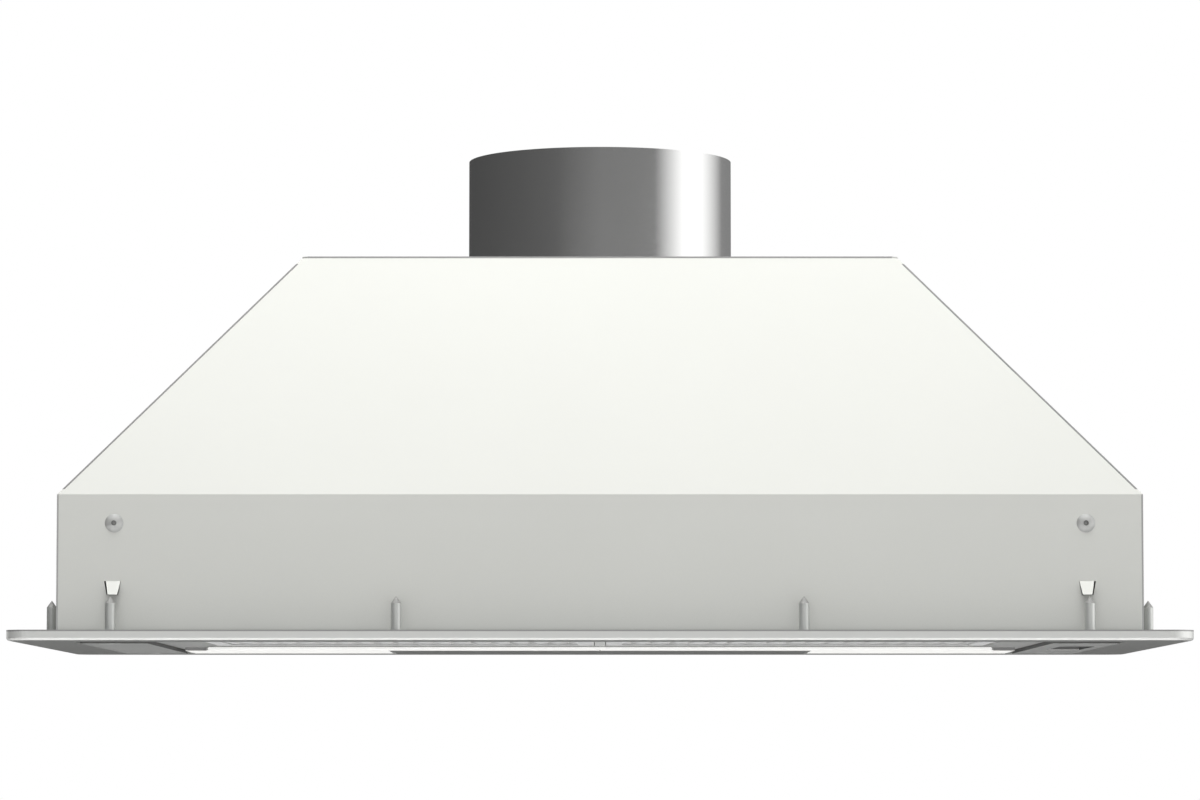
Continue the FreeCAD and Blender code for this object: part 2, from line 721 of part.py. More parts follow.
def scroll_face(inset):
    """Scroll outline in the YZ plane, drawn in by a wall thickness."""
    radii = [SCROLL_R - SCROLL_STEP * i - inset for i in range(4)]
    centres = [(SCROLL_Y, SCROLL_Z), (SCROLL_Y, SCROLL_Z - SCROLL_STEP),
               (SCROLL_Y + SCROLL_STEP, SCROLL_Z - SCROLL_STEP), (SCROLL_Y + SCROLL_STEP, SCROLL_Z)]
    tongue_y = TONGUE_Y - inset
    last_angle = math.acos((tongue_y - centres[3][0]) / radii[3])
    spans = [(math.pi, 1.5 * math.pi), (1.5 * math.pi, 2 * math.pi), (0, math.pi / 2),
             (math.pi / 2, last_angle)]

    def place(index, angle):
        y, z = centres[index]
        return V(0, y + radii[index] * math.cos(angle), z + radii[index] * math.sin(angle))

    outlet = V(0, SCROLL_LEFT_Y + inset, TOP_UNDER)
    edges = [Part.LineSegment(outlet, place(0, math.pi)).toShape()]
    for index, (start, end) in enumerate(spans):
        arc = Part.Arc(place(index, start), place(index, (start + end) / 2), place(index, end))
        edges.append(arc.toShape())
    tongue = V(0, tongue_y, TOP_UNDER)
    edges.append(Part.LineSegment(place(3, last_angle), tongue).toShape())
    edges.append(Part.LineSegment(tongue, outlet).toShape())
    return Part.Face(Part.Wire(edges))


def scroll_half():
    """Right half of the scroll casing with its inlet and outlet flange."""
    outer = scroll_face(0).extrude(V(BLOWER_HALF_W, 0, 0))
    hollow = scroll_face(BLOWER_WALL).extrude(V(BLOWER_HALF_W - BLOWER_WALL, 0, 0))
    flange = box(0, OUTLET_FLANGE, -OUTLET_FLANGE, OUTLET_FLANGE, TOP_UNDER - SHEET, TOP_UNDER)
    mouth = box(0, BLOWER_HALF_W, SCROLL_LEFT_Y, TONGUE_Y, TOP_UNDER - SHEET, TOP_UNDER)
    casing = fuse_all([outer.cut(hollow), flange.cut(mouth)])
    inlet = rod(INLET_R, V(0, FAN_Y, FAN_Z), X_AXIS, BLOWER_HALF_W)
    return cut_all(casing, [inlet] + collar_screw_holes(TOP_UNDER - SHEET, SHEET))


def inlet_lip():
    """Turned-out lip round the right inlet."""
    return tube(INLET_R + BLOWER_WALL, INLET_R, V(BLOWER_HALF_W, FAN_Y, FAN_Z), X_AXIS, INLET_LIP)


def impeller():
    """Double-inlet fan wheel: blades, end rings, centre disc and hub."""
    hub_at = V(-HUB_REAR, FAN_Y, FAN_Z)
    pieces = [rod(FAN_R, V(-FAN_DISC / 2, FAN_Y, FAN_Z), X_AXIS, FAN_DISC),
              rod(HUB_R, hub_at, X_AXIS, HUB_REAR + HUB_FRONT)]
    for x in (-FAN_HALF_W, FAN_HALF_W - FAN_RING):
        pieces.append(tube(FAN_R, FAN_INNER_R, V(x, FAN_Y, FAN_Z), X_AXIS, FAN_RING))
    middle = (FAN_R + FAN_INNER_R) / 2
    chord = (FAN_R - FAN_INNER_R - FAN_BLADE_T) / math.cos(math.radians(FAN_BLADE_ANGLE))
    for index in range(FAN_BLADES):
        blade = box(-FAN_HALF_W, FAN_HALF_W, -FAN_BLADE_T / 2, FAN_BLADE_T / 2, -chord / 2, chord / 2)
        blade.rotate(V(0, 0, 0), X_AXIS, FAN_BLADE_ANGLE)
        blade.translate(V(0, 0, middle))
        blade.rotate(V(0, 0, 0), X_AXIS, 360.0 * index / FAN_BLADES)
        blade.translate(V(0, FAN_Y, FAN_Z))
        pieces.append(blade)
    wheel = fuse_all(pieces)
    return wheel.cut(rod(SHAFT_R + SHAFT_FIT, hub_at, X_AXIS, HUB_REAR + HUB_FRONT))


# Motor

def motor_axis(x):
    """Point on the shaft's axis."""
    return V(x, FAN_Y, FAN_Z)


def motor_case():
    """Motor cup, closed on the left, with the rear bearing boss."""
    length = MOTOR_RIGHT - MOTOR_LEFT
    cup = rod(MOTOR_R, motor_axis(MOTOR_LEFT), X_AXIS, length)
    inside = MOTOR_LEFT + MOTOR_WALL
    cup = cup.cut(rod(MOTOR_R - MOTOR_WALL, motor_axis(inside), X_AXIS, length))
    boss = rod(BEARING_BOSS_R, motor_axis(inside), X_AXIS, BEARING_T)
    seat = rod(BEARING_R + SHAFT_FIT, motor_axis(inside), X_AXIS, BEARING_T)
    return fuse_all([cup, boss]).cut(seat)


def motor_end_bell():
    """Right end of the motor, with the front bearing boss."""
    disc = rod(MOTOR_R, motor_axis(MOTOR_RIGHT), X_AXIS, BELL_T)
    start = MOTOR_RIGHT + BELL_T - BEARING_T
    boss = rod(BEARING_BOSS_R, motor_axis(start), X_AXIS, BEARING_T)
    return fuse_all([disc, boss]).cut(rod(BEARING_R + SHAFT_FIT, motor_axis(start), X_AXIS, BEARING_T))


def motor_bearings():
    """Plain bearings at both ends of the motor shaft."""
    rings = []
    for start in (MOTOR_LEFT + MOTOR_WALL, MOTOR_RIGHT + BELL_T - BEARING_T):
        rings.append(tube(BEARING_R, SHAFT_R + DAMPER_RUN, motor_axis(start), X_AXIS, BEARING_T))
    return Part.makeCompound(rings)


def motor_stack(outer, inner):
    """Ring of laminations inside the motor case."""
    start = MOTOR_LEFT + MOTOR_WALL + STACK_INSET
    length = MOTOR_RIGHT - STACK_INSET - start
    return tube(outer, inner, motor_axis(start), X_AXIS, length)


def motor_shaft():
    """Shaft from the rear bearing to the end of the hub."""
    start = MOTOR_LEFT + MOTOR_WALL + SHEET / 2
    return rod(SHAFT_R, motor_axis(start), X_AXIS, HUB_FRONT + SHEET - start)


def motor_bracket():
    """Three-armed spider that hangs the motor on the left inlet."""
    start = motor_axis(-BLOWER_HALF_W - BRACKET_T)
    inner = MOTOR_R + DAMPER_RUN
    pieces = [rod(MOTOR_R + BRACKET_RING, start, X_AXIS, BRACKET_T)]
    for index in range(3):
        arm = box(0, BRACKET_T, -BRACKET_ARM_W / 2, BRACKET_ARM_W / 2, 0, BRACKET_ARM_R)
        arm.rotate(V(0, 0, 0), X_AXIS, 120.0 * index)
        arm.translate(start)
        pieces.append(arm)
    return fuse_all(pieces).cut(rod(inner, start, X_AXIS, BRACKET_T))


# Electrical pieces

def motor_capacitor():
    """Run capacitor on a foot at the rear panel."""
    y = WALL_Y - CAP_OFF - CAP_R
    can = rod(CAP_R, V(CAP_X - CAP_LENGTH / 2, y, CAP_Z), X_AXIS, CAP_LENGTH)
    width, height = CAP_FOOT
    foot = box(CAP_X - width / 2, CAP_X + width / 2, y, WALL_Y, CAP_Z - height / 2, CAP_Z + height / 2)
    return fuse_all([can, foot])


def gland_hole(y, depth):
    """Clearance hole for the cable gland."""
    return rod(GLAND_R + HOLE_CLEAR, V(sum(JBOX_X) / 2, y, GLAND_Z), Y_AXIS, depth)


def junction_box():
    """Sheet box on the rear panel, open to the front."""
    w = JBOX_WALL
    outer = box(JBOX_X[0], JBOX_X[1], WALL_Y - JBOX_DEPTH, WALL_Y, JBOX_Z[0], JBOX_Z[1])
    inner = box(JBOX_X[0] + w, JBOX_X[1] - w, WALL_Y - JBOX_DEPTH, WALL_Y - w, JBOX_Z[0] + w, JBOX_Z[1] - w)
    return outer.cut(inner).cut(gland_hole(WALL_Y - w, w))


def junction_box_lid():
    """Flat lid that closes the junction box."""
    o = JBOX_LID_OVER
    y = WALL_Y - JBOX_DEPTH
    return box(JBOX_X[0] - o, JBOX_X[1] + o, y - JBOX_WALL, y, JBOX_Z[0] - o, JBOX_Z[1] + o)


def terminal_block():
    """Terminal strip on the back wall of the junction box."""
    width, depth, height = TERMINAL
    x = sum(JBOX_X) / 2
    z = JBOX_Z[0] + JBOX_WALL + TERMINAL_LIFT
    y = WALL_Y - JBOX_WALL
    return box(x - width / 2, x + width / 2, y - depth, y, z, z + height)


def cable_gland():
    """Gland through rear panel and junction box, with a cable bore."""
    x = sum(JBOX_X) / 2
    inside = WALL_Y - JBOX_WALL
    length = GLAND_NUT_T + JBOX_WALL + SHEET + GLAND_HEAD_T
    stem = rod(GLAND_R, V(x, inside - GLAND_NUT_T, GLAND_Z), Y_AXIS, length)
    nut = rod(GLAND_NUT_R, V(x, inside - GLAND_NUT_T, GLAND_Z), Y_AXIS, GLAND_NUT_T)
    head = rod(GLAND_HEAD_R, V(x, BODY_Y, GLAND_Z), Y_AXIS, GLAND_HEAD_T)
    bore = rod(GLAND_BORE_R, V(x, inside - GLAND_NUT_T, GLAND_Z), Y_AXIS, length)
    return fuse_all([stem, nut, head]).cut(bore)


def motor_lead():
    """Lead from the junction box along the rear panel to the motor."""
    rear = WALL_Y - LEAD_BEND + SHEET
    turn_x = MOTOR_LEFT - 2 * LEAD_BEND
    end_y = FAN_Y + LEAD_BEND
    end_z = FAN_Z - LEAD_BEND
    route = [V(JBOX_X[0], rear, CAP_Z), V(turn_x, rear, CAP_Z), V(turn_x, end_y, CAP_Z),
             V(turn_x, end_y, end_z), V(MOTOR_LEFT, end_y, end_z)]
    return bent_tube(route, LEAD_R, LEAD_BEND)


def switch_lead():
    """Lead from the junction box along the right side to the switches."""
    rear = WALL_Y - 2 * LEAD_BEND
    end_y = sum(SWITCH_Y) / 2
    route = [V(JBOX_X[1], rear, CAP_Z), V(SWITCH_X, rear, CAP_Z), V(SWITCH_X, end_y, CAP_Z),
             V(SWITCH_X, end_y, SWITCH_TOP)]
    return bent_tube(route, LEAD_R, LEAD_BEND)


def lamp_leads():
    """Leads from the junction box to both lamp reflectors."""
    lamp_x = (LENS_X0 + LENS_X1) / 2
    level = JBOX_Z[0] + LEAD_R + JBOX_WALL
    rear = WALL_Y - 2 * LEAD_R
    drop_y = (REAR_STRIP_Y + LENS_Y1) / 2
    bend = level - REFLECTOR_TOP - JBOX_WALL
    route = [V(JBOX_X[0], rear, level), V(-lamp_x, rear, level), V(-lamp_x, drop_y, level),
             V(-lamp_x, drop_y, REFLECTOR_TOP)]
    left = bent_tube(route, LEAD_R, bend)
    right = rod(LEAD_R, V(lamp_x, WALL_Y - JBOX_DEPTH / 2, REFLECTOR_TOP), Z_AXIS, JBOX_Z[0] - REFLECTOR_TOP)
    return Part.makeCompound([left, right])


# Filters, drawn on the right-hand side

def filter_frame():
    """Channel frame with pivot pins, thumb slot and tongue slot."""
    w = FILTER_WALL
    body = box(FILTER_X0, FILTER_X1, FILTER_Y0, FILTER_Y1, FILTER_BOTTOM, FILTER_TOP)
    channel = box(FILTER_X0 + w, FILTER_X1 - w, FILTER_Y0 + w, FILTER_Y1 - w, FILTER_BOTTOM + w, FILTER_TOP - w)
    window = box(FILTER_X0 + FILTER_RIM, FILTER_X1 - FILTER_RIM,
                 FILTER_Y0 + FILTER_FRONT_RIM, FILTER_Y1 - FILTER_RIM, FILTER_BOTTOM, FILTER_TOP)
    half = TONGUE_W / 2 + SLOT_CLEAR
    front_slot = box(FILTER_MID_X - half, FILTER_MID_X + half, FILTER_Y0, FILTER_Y0 + w,
                     TONGUE_FLOOR - SLOT_CLEAR, TONGUE_FLOOR + TONGUE_T + SLOT_CLEAR)
    thumb_y = FILTER_Y0 + w + LATCH_GAP
    thumb_slot = box(FILTER_MID_X - half, FILTER_MID_X + half, thumb_y,
                     thumb_y + LATCH_TRAVEL + THUMB_T + 2 * SLOT_CLEAR + LATCH_GAP,
                     FILTER_BOTTOM, FILTER_BOTTOM + w)
    frame = cut_all(body, [channel, window, front_slot, thumb_slot])
    inner_pin = rod(PIVOT_R, V(PIVOT_END_GAP, PIVOT_Y, PIVOT_Z), X_AXIS, FILTER_X0 + w - PIVOT_END_GAP)
    outer_end = FILTER_OPEN_X + EAR_T
    outer_pin = rod(PIVOT_R, V(FILTER_X1 - w, PIVOT_Y, PIVOT_Z), X_AXIS, outer_end - FILTER_X1 + w)
    return fuse_all([frame, inner_pin, outer_pin])


def filter_net():
    """Flat net of diamond gaps on the floor of the frame's channel."""
    bottom = FILTER_BOTTOM + FILTER_WALL
    x0 = FILTER_X0 + FILTER_RIM - NET_GRIP
    x1 = FILTER_X1 - FILTER_RIM + NET_GRIP
    y0 = FILTER_Y0 + FILTER_FRONT_RIM - NET_GRIP
    y1 = FILTER_Y1 - FILTER_RIM + NET_GRIP
    left = FILTER_X0 + FILTER_RIM
    front = FILTER_Y0 + FILTER_FRONT_RIM
    step_x = (FILTER_X1 - FILTER_RIM - left) / NET_COLUMNS
    step_y = (FILTER_Y1 - FILTER_RIM - front) / NET_ROWS
    half_x = (step_x - NET_STRAND / 2) / 2
    half_y = (step_y - NET_STRAND / 2) / 2
    corners = [V(x0, y0, bottom), V(x1, y0, bottom), V(x1, y1, bottom), V(x0, y1, bottom)]
    wires = [Part.makePolygon(corners + [corners[0]])]
    for column in range(NET_COLUMNS):
        for row in range(NET_ROWS):
            x = left + (column + 0.5) * step_x
            y = front + (row + 0.5) * step_y
            gap = [V(x - half_x, y, bottom), V(x, y + half_y, bottom),
                   V(x + half_x, y, bottom), V(x, y - half_y, bottom)]
            wires.append(Part.makePolygon(gap + [gap[0]]))
    return Part.Face(wires, "Part::FaceMakerBullseye").extrude(V(0, 0, NET_T))


def filter_pad():
    """Pad of pressed mesh layers on top of the net."""
    low = FILTER_BOTTOM + FILTER_WALL + NET_T + NET_FIT
    high = FILTER_TOP - FILTER_WALL - NET_FIT
    x0 = FILTER_X0 + FILTER_RIM - NET_GRIP
    x1 = FILTER_X1 - FILTER_RIM + NET_GRIP
    y0 = FILTER_Y0 + FILTER_FRONT_RIM - NET_GRIP
    y1 = FILTER_Y1 - FILTER_RIM + NET_GRIP
    return box(x0, x1, y0, y1, low, high)


def filter_latch():
    """Sliding latch in the front rim: block, tongue and thumb piece."""
    y0 = FILTER_Y0 + FILTER_WALL + LATCH_GAP
    low = FILTER_BOTTOM + FILTER_WALL + LATCH_GAP
    block = box(FILTER_MID_X - LATCH_W / 2, FILTER_MID_X + LATCH_W / 2,
                y0, y0 + LATCH_DEPTH, low, low + LATCH_H)
    tongue = box(FILTER_MID_X - TONGUE_W / 2, FILTER_MID_X + TONGUE_W / 2,
                 FILTER_OPEN_Y[0] - TONGUE_REACH, y0, TONGUE_FLOOR, TONGUE_FLOOR + TONGUE_T)
    thumb_y = y0 + SLOT_CLEAR
    thumb = box(FILTER_MID_X - THUMB_W / 2, FILTER_MID_X + THUMB_W / 2,
                thumb_y, thumb_y + THUMB_T, THUMB_BOTTOM, low)
    return fuse_all([block, tongue, thumb])


def filter_keeper():
    """Spring leaf on the pan that the latch's tongue rests over."""
    foot = FILTER_OPEN_Y[0] - NOTCH_D
    return box(FILTER_MID_X - KEEPER_W / 2, FILTER_MID_X + KEEPER_W / 2,
               foot - KEEPER_FOOT, FILTER_OPEN_Y[0] - KEEPER_LAP, CEILING_Z, CEILING_Z + KEEPER_T)


def filter_hinge_brackets():
    """Three ears on the pan that carry the filters' rear pivots."""
    ears = []
    spans = [(-FILTER_OPEN_X - EAR_T, -FILTER_OPEN_X), (-MULLION / 2, MULLION / 2),
             (FILTER_OPEN_X, FILTER_OPEN_X + EAR_T)]
    for x0, x1 in spans:
        ear = box(x0, x1, PIVOT_Y - EAR_W / 2, PIVOT_Y + EAR_W / 2, CEILING_Z, EAR_TOP)
        ears.append(ear.cut(rod(PIVOT_R + PIVOT_RUN, V(x0, PIVOT_Y, PIVOT_Z), X_AXIS, x1 - x0)))
    return Part.makeCompound(ears)


# Covers, lamps and switches

def cover_screw(x, y):
    """Flush screw that holds a side cover to the pan's ceiling."""
    head = Part.makeCone(COVER_SCREW_HEAD_R, COVER_SCREW_R, PAN_SHEET, V(x, y, 0), Z_AXIS)
    return fuse_all([head, rod(COVER_SCREW_R, V(x, y, PAN_SHEET), Z_AXIS, COVER_SCREW_TIP - PAN_SHEET)])


def side_cover():
    """Right-hand tray that closes the pan's recess beside the filters."""
    shape = tray(COVER_X0, COVER_X1, COVER_Y0, COVER_Y1, RECESS, PAN_SHEET)
    return cut_all(shape, [cover_screw(x, y) for x, y in cover_screw_places() if x > 0])


def control_panel():
    """Right side cover with the switch well cut out."""
    half = SWITCH_WELL_W / 2
    return side_cover().cut(box(SWITCH_X - half, SWITCH_X + half, SWITCH_Y[0], SWITCH_Y[1], 0, PAN_SHEET))


def wiring_cover():
    """Tray between the two lamp lenses, behind their arms."""
    front = REAR_STRIP_Y + LENS_ARM + COVER_GAP
    return tray(-CENTRE_HALF_W, CENTRE_HALF_W, front, COVER_Y1, RECESS, PAN_SHEET)


def lamp_lens():
    """Diffuser plate under the right lamp, with an arm to the middle and a set-back tail."""
    shoulder = LENS_X1 + LENS_SHOULDER
    tail = LENS_X1 + LENS_TAIL
    back = REAR_STRIP_Y + LENS_CLIP
    arm = REAR_STRIP_Y + LENS_ARM
    outline = [(LENS_SEAM, REAR_STRIP_Y), (shoulder, REAR_STRIP_Y), (shoulder + LENS_SLANT, back),
               (tail, back), (tail, LENS_Y1), (LENS_X0, LENS_Y1), (LENS_X0, arm), (LENS_SEAM, arm)]
    plate = prism([V(x, y, LENS_BOTTOM) for x, y in outline], V(0, 0, RECESS - LENS_BOTTOM))
    return soften_bottom(plate, LENS_EDGE_R)


def lamp_reflector():
    """Bright box over the right lens."""
    i = REFLECTOR_INSET
    w = REFLECTOR_WALL
    outer = box(LENS_X0 + i, LENS_X1 - i, REAR_STRIP_Y + i, LENS_Y1 - i, CEILING_Z, REFLECTOR_TOP)
    inner = box(LENS_X0 + i + w, LENS_X1 - i - w, REAR_STRIP_Y + i + w, LENS_Y1 - i - w,
                CEILING_Z, REFLECTOR_TOP - w)
    return outer.cut(inner)


def lamp_axis(along):
    """Point on the right lamp's axis, measured from the reflector's wall."""
    x = LENS_X0 + REFLECTOR_INSET + REFLECTOR_WALL
    return V(x + along, (REAR_STRIP_Y + LENS_Y1) / 2, LAMP_AXIS_Z)


def lamp_socket():
    """Lamp holder on the reflector's inner wall."""
    return rod(SOCKET_R, lamp_axis(0), X_AXIS, SOCKET_LENGTH)


def lamp_bulb():
    """Small bulb: a neck that swells into a round end."""
    neck = Part.makeCone(BULB_NECK_R, BULB_R, BULB_NECK, lamp_axis(SOCKET_LENGTH), X_AXIS)
    end = Part.makeSphere(BULB_R, lamp_axis(SOCKET_LENGTH + BULB_NECK))
    behind = rod(BULB_R, lamp_axis(SOCKET_LENGTH - BULB_NECK), X_AXIS, 2 * BULB_NECK)
    return fuse_all([neck, end.cut(behind)])


def rocker_spans():
    """Well lengths of the front and rear rocker along Y."""
    middle = sum(SWITCH_Y) / 2
    half = SWITCH_DIVIDER / 2
    return [(SWITCH_Y[0], middle - half), (middle + half, SWITCH_Y[1])]


def switch_housing():
    """Switch body with two wells, held between panel and pan ceiling."""
    half = SWITCH_WELL_W / 2
    w = SWITCH_WALL
    wide = half + w + SWITCH_FLANGE
    long = w + SWITCH_FLANGE
    flange = box(SWITCH_X - wide, SWITCH_X + wide, SWITCH_Y[0] - long, SWITCH_Y[1] + long, PAN_SHEET, RECESS)
    body = box(SWITCH_X - half - w, SWITCH_X + half + w, SWITCH_Y[0] - w, SWITCH_Y[1] + w, RECESS, SWITCH_TOP)
    cuts = []
    for y0, y1 in rocker_spans():
        cuts.append(box(SWITCH_X - half, SWITCH_X + half, y0, y1, PAN_SHEET, SWITCH_TOP - SWITCH_ROOF))
        reach = half + ROCKER_PIN_IN + ROCKER_RUN
        cuts.append(rod(ROCKER_PIN_R + ROCKER_RUN, V(SWITCH_X - reach, (y0 + y1) / 2, ROCKER_AXIS_Z),
                        X_AXIS, 2 * reach))
    return cut_all(fuse_all([flange, body]), cuts)


def rocker(y0, y1):
    """Rocker key on stub pins, resting on its tilted off side."""
    half = SWITCH_WELL_W / 2
    middle = (y0 + y1) / 2
    key = box(SWITCH_X - half + ROCKER_GAP, SWITCH_X + half - ROCKER_GAP,
              y0 + ROCKER_GAP, y1 - ROCKER_GAP, ROCKER_FACE, ROCKER_BACK)
    reach = half + ROCKER_PIN_IN
    pin = rod(ROCKER_PIN_R, V(SWITCH_X - reach, middle, ROCKER_AXIS_Z), X_AXIS, 2 * reach)
    shape = fuse_all([key, pin])
    shape.rotate(V(SWITCH_X, middle, ROCKER_AXIS_Z), X_AXIS, -ROCKER_TILT)
    return shape


def build():
    """Every node of the hood, by name."""
    nodes = {}
    right_side = side_panel()
    front = front_panel(right_side)
    nodes["bottom_pan"] = bottom_pan()
    nodes["mounting_frame"] = mounting_frame()
    nodes["flange_screws"] = flange_screws()
    nodes["front_panel"] = front
    nodes["rear_panel"] = rear_panel(front)
    nodes["right_side_panel"] = right_side
    nodes["left_side_panel"] = mirror_x(right_side)
    nodes["top_plate"] = top_plate()
    nodes["corner_brackets"] = corner_brackets()
    nodes["body_rivets"] = body_rivets()

    nodes["duct_collar"] = duct_collar()
    nodes["collar_ring"] = collar_ring()
    nodes["collar_screws"] = collar_screws()
    nodes["damper_pin"] = damper_pin()
    first = -2.5 * KNUCKLE_STEP
    nodes["damper_flap_front"] = damper_flap(first)
    nodes["damper_flap_rear"] = mirror_y(damper_flap(first + KNUCKLE_STEP))

    half = scroll_half()
    nodes["blower_casing_right"] = fuse_all([half, inlet_lip()])
    nodes["blower_casing_left"] = mirror_x(half)
    nodes["impeller"] = impeller()
    nodes["motor_shaft"] = motor_shaft()
    nodes["motor_rotor"] = motor_stack(STATOR_IN_R - ROTOR_GAP, SHAFT_R + SHAFT_FIT)
    nodes["motor_stator"] = motor_stack(MOTOR_R - MOTOR_WALL - STATOR_GAP, STATOR_IN_R)
    nodes["motor_case"] = motor_case()
    nodes["motor_end_bell"] = motor_end_bell()
    nodes["motor_bearings"] = motor_bearings()
    nodes["motor_bracket"] = motor_bracket()

    nodes["motor_capacitor"] = motor_capacitor()
    nodes["junction_box"] = junction_box()
    nodes["junction_box_lid"] = junction_box_lid()
    nodes["terminal_block"] = terminal_block()
    nodes["cable_gland"] = cable_gland()
    nodes["motor_lead"] = motor_lead()
    nodes["switch_lead"] = switch_lead()
    nodes["lamp_leads"] = lamp_leads()

    nodes["filter_hinge_brackets"] = filter_hinge_brackets()
    paired = {
        "filter_frame": filter_frame(),
        "filter_net": filter_net(),
        "filter_pad": filter_pad(),
        "filter_latch": filter_latch(),
        "filter_keeper": filter_keeper(),
        "lamp_lens": lamp_lens(),
        "lamp_reflector": lamp_reflector(),
        "lamp_socket": lamp_socket(),
        "lamp_bulb": lamp_bulb(),
    }
    for name, shape in paired.items():
        nodes["right_" + name] = shape
        nodes["left_" + name] = mirror_x(shape)

    nodes["left_cover_panel"] = mirror_x(side_cover())
    nodes["control_panel"] = control_panel()
    nodes["cover_screws"] = Part.makeCompound([cover_screw(x, y) for x, y in cover_screw_places()])
    nodes["wiring_cover"] = wiring_cover()
    nodes["switch_housing"] = switch_housing()
    front_span, rear_span = rocker_spans()
    nodes["fan_rocker"] = rocker(*front_span)
    nodes["light_rocker"] = rocker(*rear_span)
    return nodes


os.makedirs("parts", exist_ok=True)
for node_name, node_shape in build().items():
    solids = node_shape.Solids
    shape_out = solids[0] if len(solids) == 1 else Part.makeCompound(solids)
    shape_out.exportStep("parts/" + node_name + ".step")
    box_out = shape_out.BoundBox
    print("%-24s solids %2d valid %s volume %9.0f  z %.2f to %.2f" % (
        node_name, len(solids), shape_out.isValid(), shape_out.Volume, box_out.ZMin, box_out.ZMax))
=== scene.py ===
"""Looks of the built-in range hood: finishes, filter mesh, diffuser strip, studio and camera."""
import logging
import math
from dataclasses import dataclass
from enum import Enum
from typing import Any, Iterable, Sequence

import bmesh
import bpy
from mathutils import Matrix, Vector


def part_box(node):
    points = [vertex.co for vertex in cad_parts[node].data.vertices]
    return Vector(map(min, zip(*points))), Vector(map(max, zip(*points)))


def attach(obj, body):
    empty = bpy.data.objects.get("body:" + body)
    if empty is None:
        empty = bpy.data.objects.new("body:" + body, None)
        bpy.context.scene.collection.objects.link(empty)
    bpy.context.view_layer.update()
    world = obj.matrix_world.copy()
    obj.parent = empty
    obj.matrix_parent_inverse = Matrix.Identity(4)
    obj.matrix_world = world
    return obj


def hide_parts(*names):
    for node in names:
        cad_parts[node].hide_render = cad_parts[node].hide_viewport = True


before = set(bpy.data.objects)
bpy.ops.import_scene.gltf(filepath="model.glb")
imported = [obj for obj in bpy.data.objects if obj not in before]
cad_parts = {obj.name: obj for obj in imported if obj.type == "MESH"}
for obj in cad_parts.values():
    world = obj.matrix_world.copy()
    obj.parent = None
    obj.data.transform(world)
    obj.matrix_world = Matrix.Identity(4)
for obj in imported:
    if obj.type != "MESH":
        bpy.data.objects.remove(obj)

LOG = logging.getLogger("range_hood")

# Gains of the masks: the larger, the sharper their border
SHARP = 5000.0
FOLD_GAIN = 5.0
LEVEL_GAIN = 4.0
EDGE_GAIN = 4.0
# Cosine from which a face counts as looking one way
SQUARE_FROM = 0.5
# Octaves of the two noises that every finish uses, and the mean of a noise
CLOUD_OCTAVES = 4.0
STREAK_OCTAVES = 3.0
NOISE_MEAN = 0.5
# Samples of the nodes that look for edges and corners
EDGE_SAMPLES = 4
CREASE_SAMPLES = 6
# Height at which the two reflection screens meet
SCREEN_SPLIT = 0.35

Colour = tuple[float, float, float]
Point = tuple[float, float, float]

PURE_BLACK: Colour = (0.0, 0.0, 0.0)
PURE_WHITE: Colour = (1.0, 1.0, 1.0)


class Facing(Enum):
    """Direction in which a surface may look."""

    UP = (0.0, 0.0, 1.0)
    DOWN = (0.0, 0.0, -1.0)
    FRONT = (0.0, -1.0, 0.0)
    REAR = (0.0, 1.0, 0.0)
    RIGHT = (1.0, 0.0, 0.0)


class Grain(Enum):
    """Direction in which a sheet was brushed or rolled."""

    ALONG_X = (0.03, 1.0, 1.0)
    ALONG_Y = (1.0, 0.03, 1.0)
    AROUND_Z = (0.15, 0.15, 1.0)
    NONE = (1.0, 1.0, 1.0)


class Signal:
    """A shader value that adds Math nodes when it is used in arithmetic."""

    def __init__(self, graph: "Graph", socket: bpy.types.NodeSocket) -> None:
        """Wrap one output socket of a graph."""
        self.graph = graph
        self.socket = socket

    def _math(self, operation: str, first: Any, second: Any) -> "Signal":
        """Add a Math node and return its value."""
        node = self.graph.node("ShaderNodeMath", {"operation": operation}, {0: first, 1: second})
        return Signal(self.graph, node.outputs[0])

    def __add__(self, other: Any) -> "Signal":
        """Sum of two values."""
        return self._math("ADD", self, other)

    def __radd__(self, other: Any) -> "Signal":
        """Sum with a plain number on the left."""
        return self._math("ADD", other, self)

    def __sub__(self, other: Any) -> "Signal":
        """Difference of two values."""
        return self._math("SUBTRACT", self, other)

    def __rsub__(self, other: Any) -> "Signal":
        """Difference with a plain number on the left."""
        return self._math("SUBTRACT", other, self)

    def __mul__(self, other: Any) -> "Signal":
        """Product of two values."""
        return self._math("MULTIPLY", self, other)

    def __rmul__(self, other: Any) -> "Signal":
        """Product with a plain number on the left."""
        return self._math("MULTIPLY", other, self)

    def larger(self, other: Any) -> "Signal":
        """The larger of two values."""
        return self._math("MAXIMUM", self, other)

    def smaller(self, other: Any) -> "Signal":
        """The smaller of two values."""
        return self._math("MINIMUM", self, other)

    def size(self) -> "Signal":
        """The value without its sign."""
        return self._math("ABSOLUTE", self, 0.0)

    def step(self, limit: float, gain: float) -> "Signal":
        """Ramp from 0 at a limit up to 1, steeper with the gain."""
        return ((self - limit) * gain).larger(0.0).smaller(1.0)


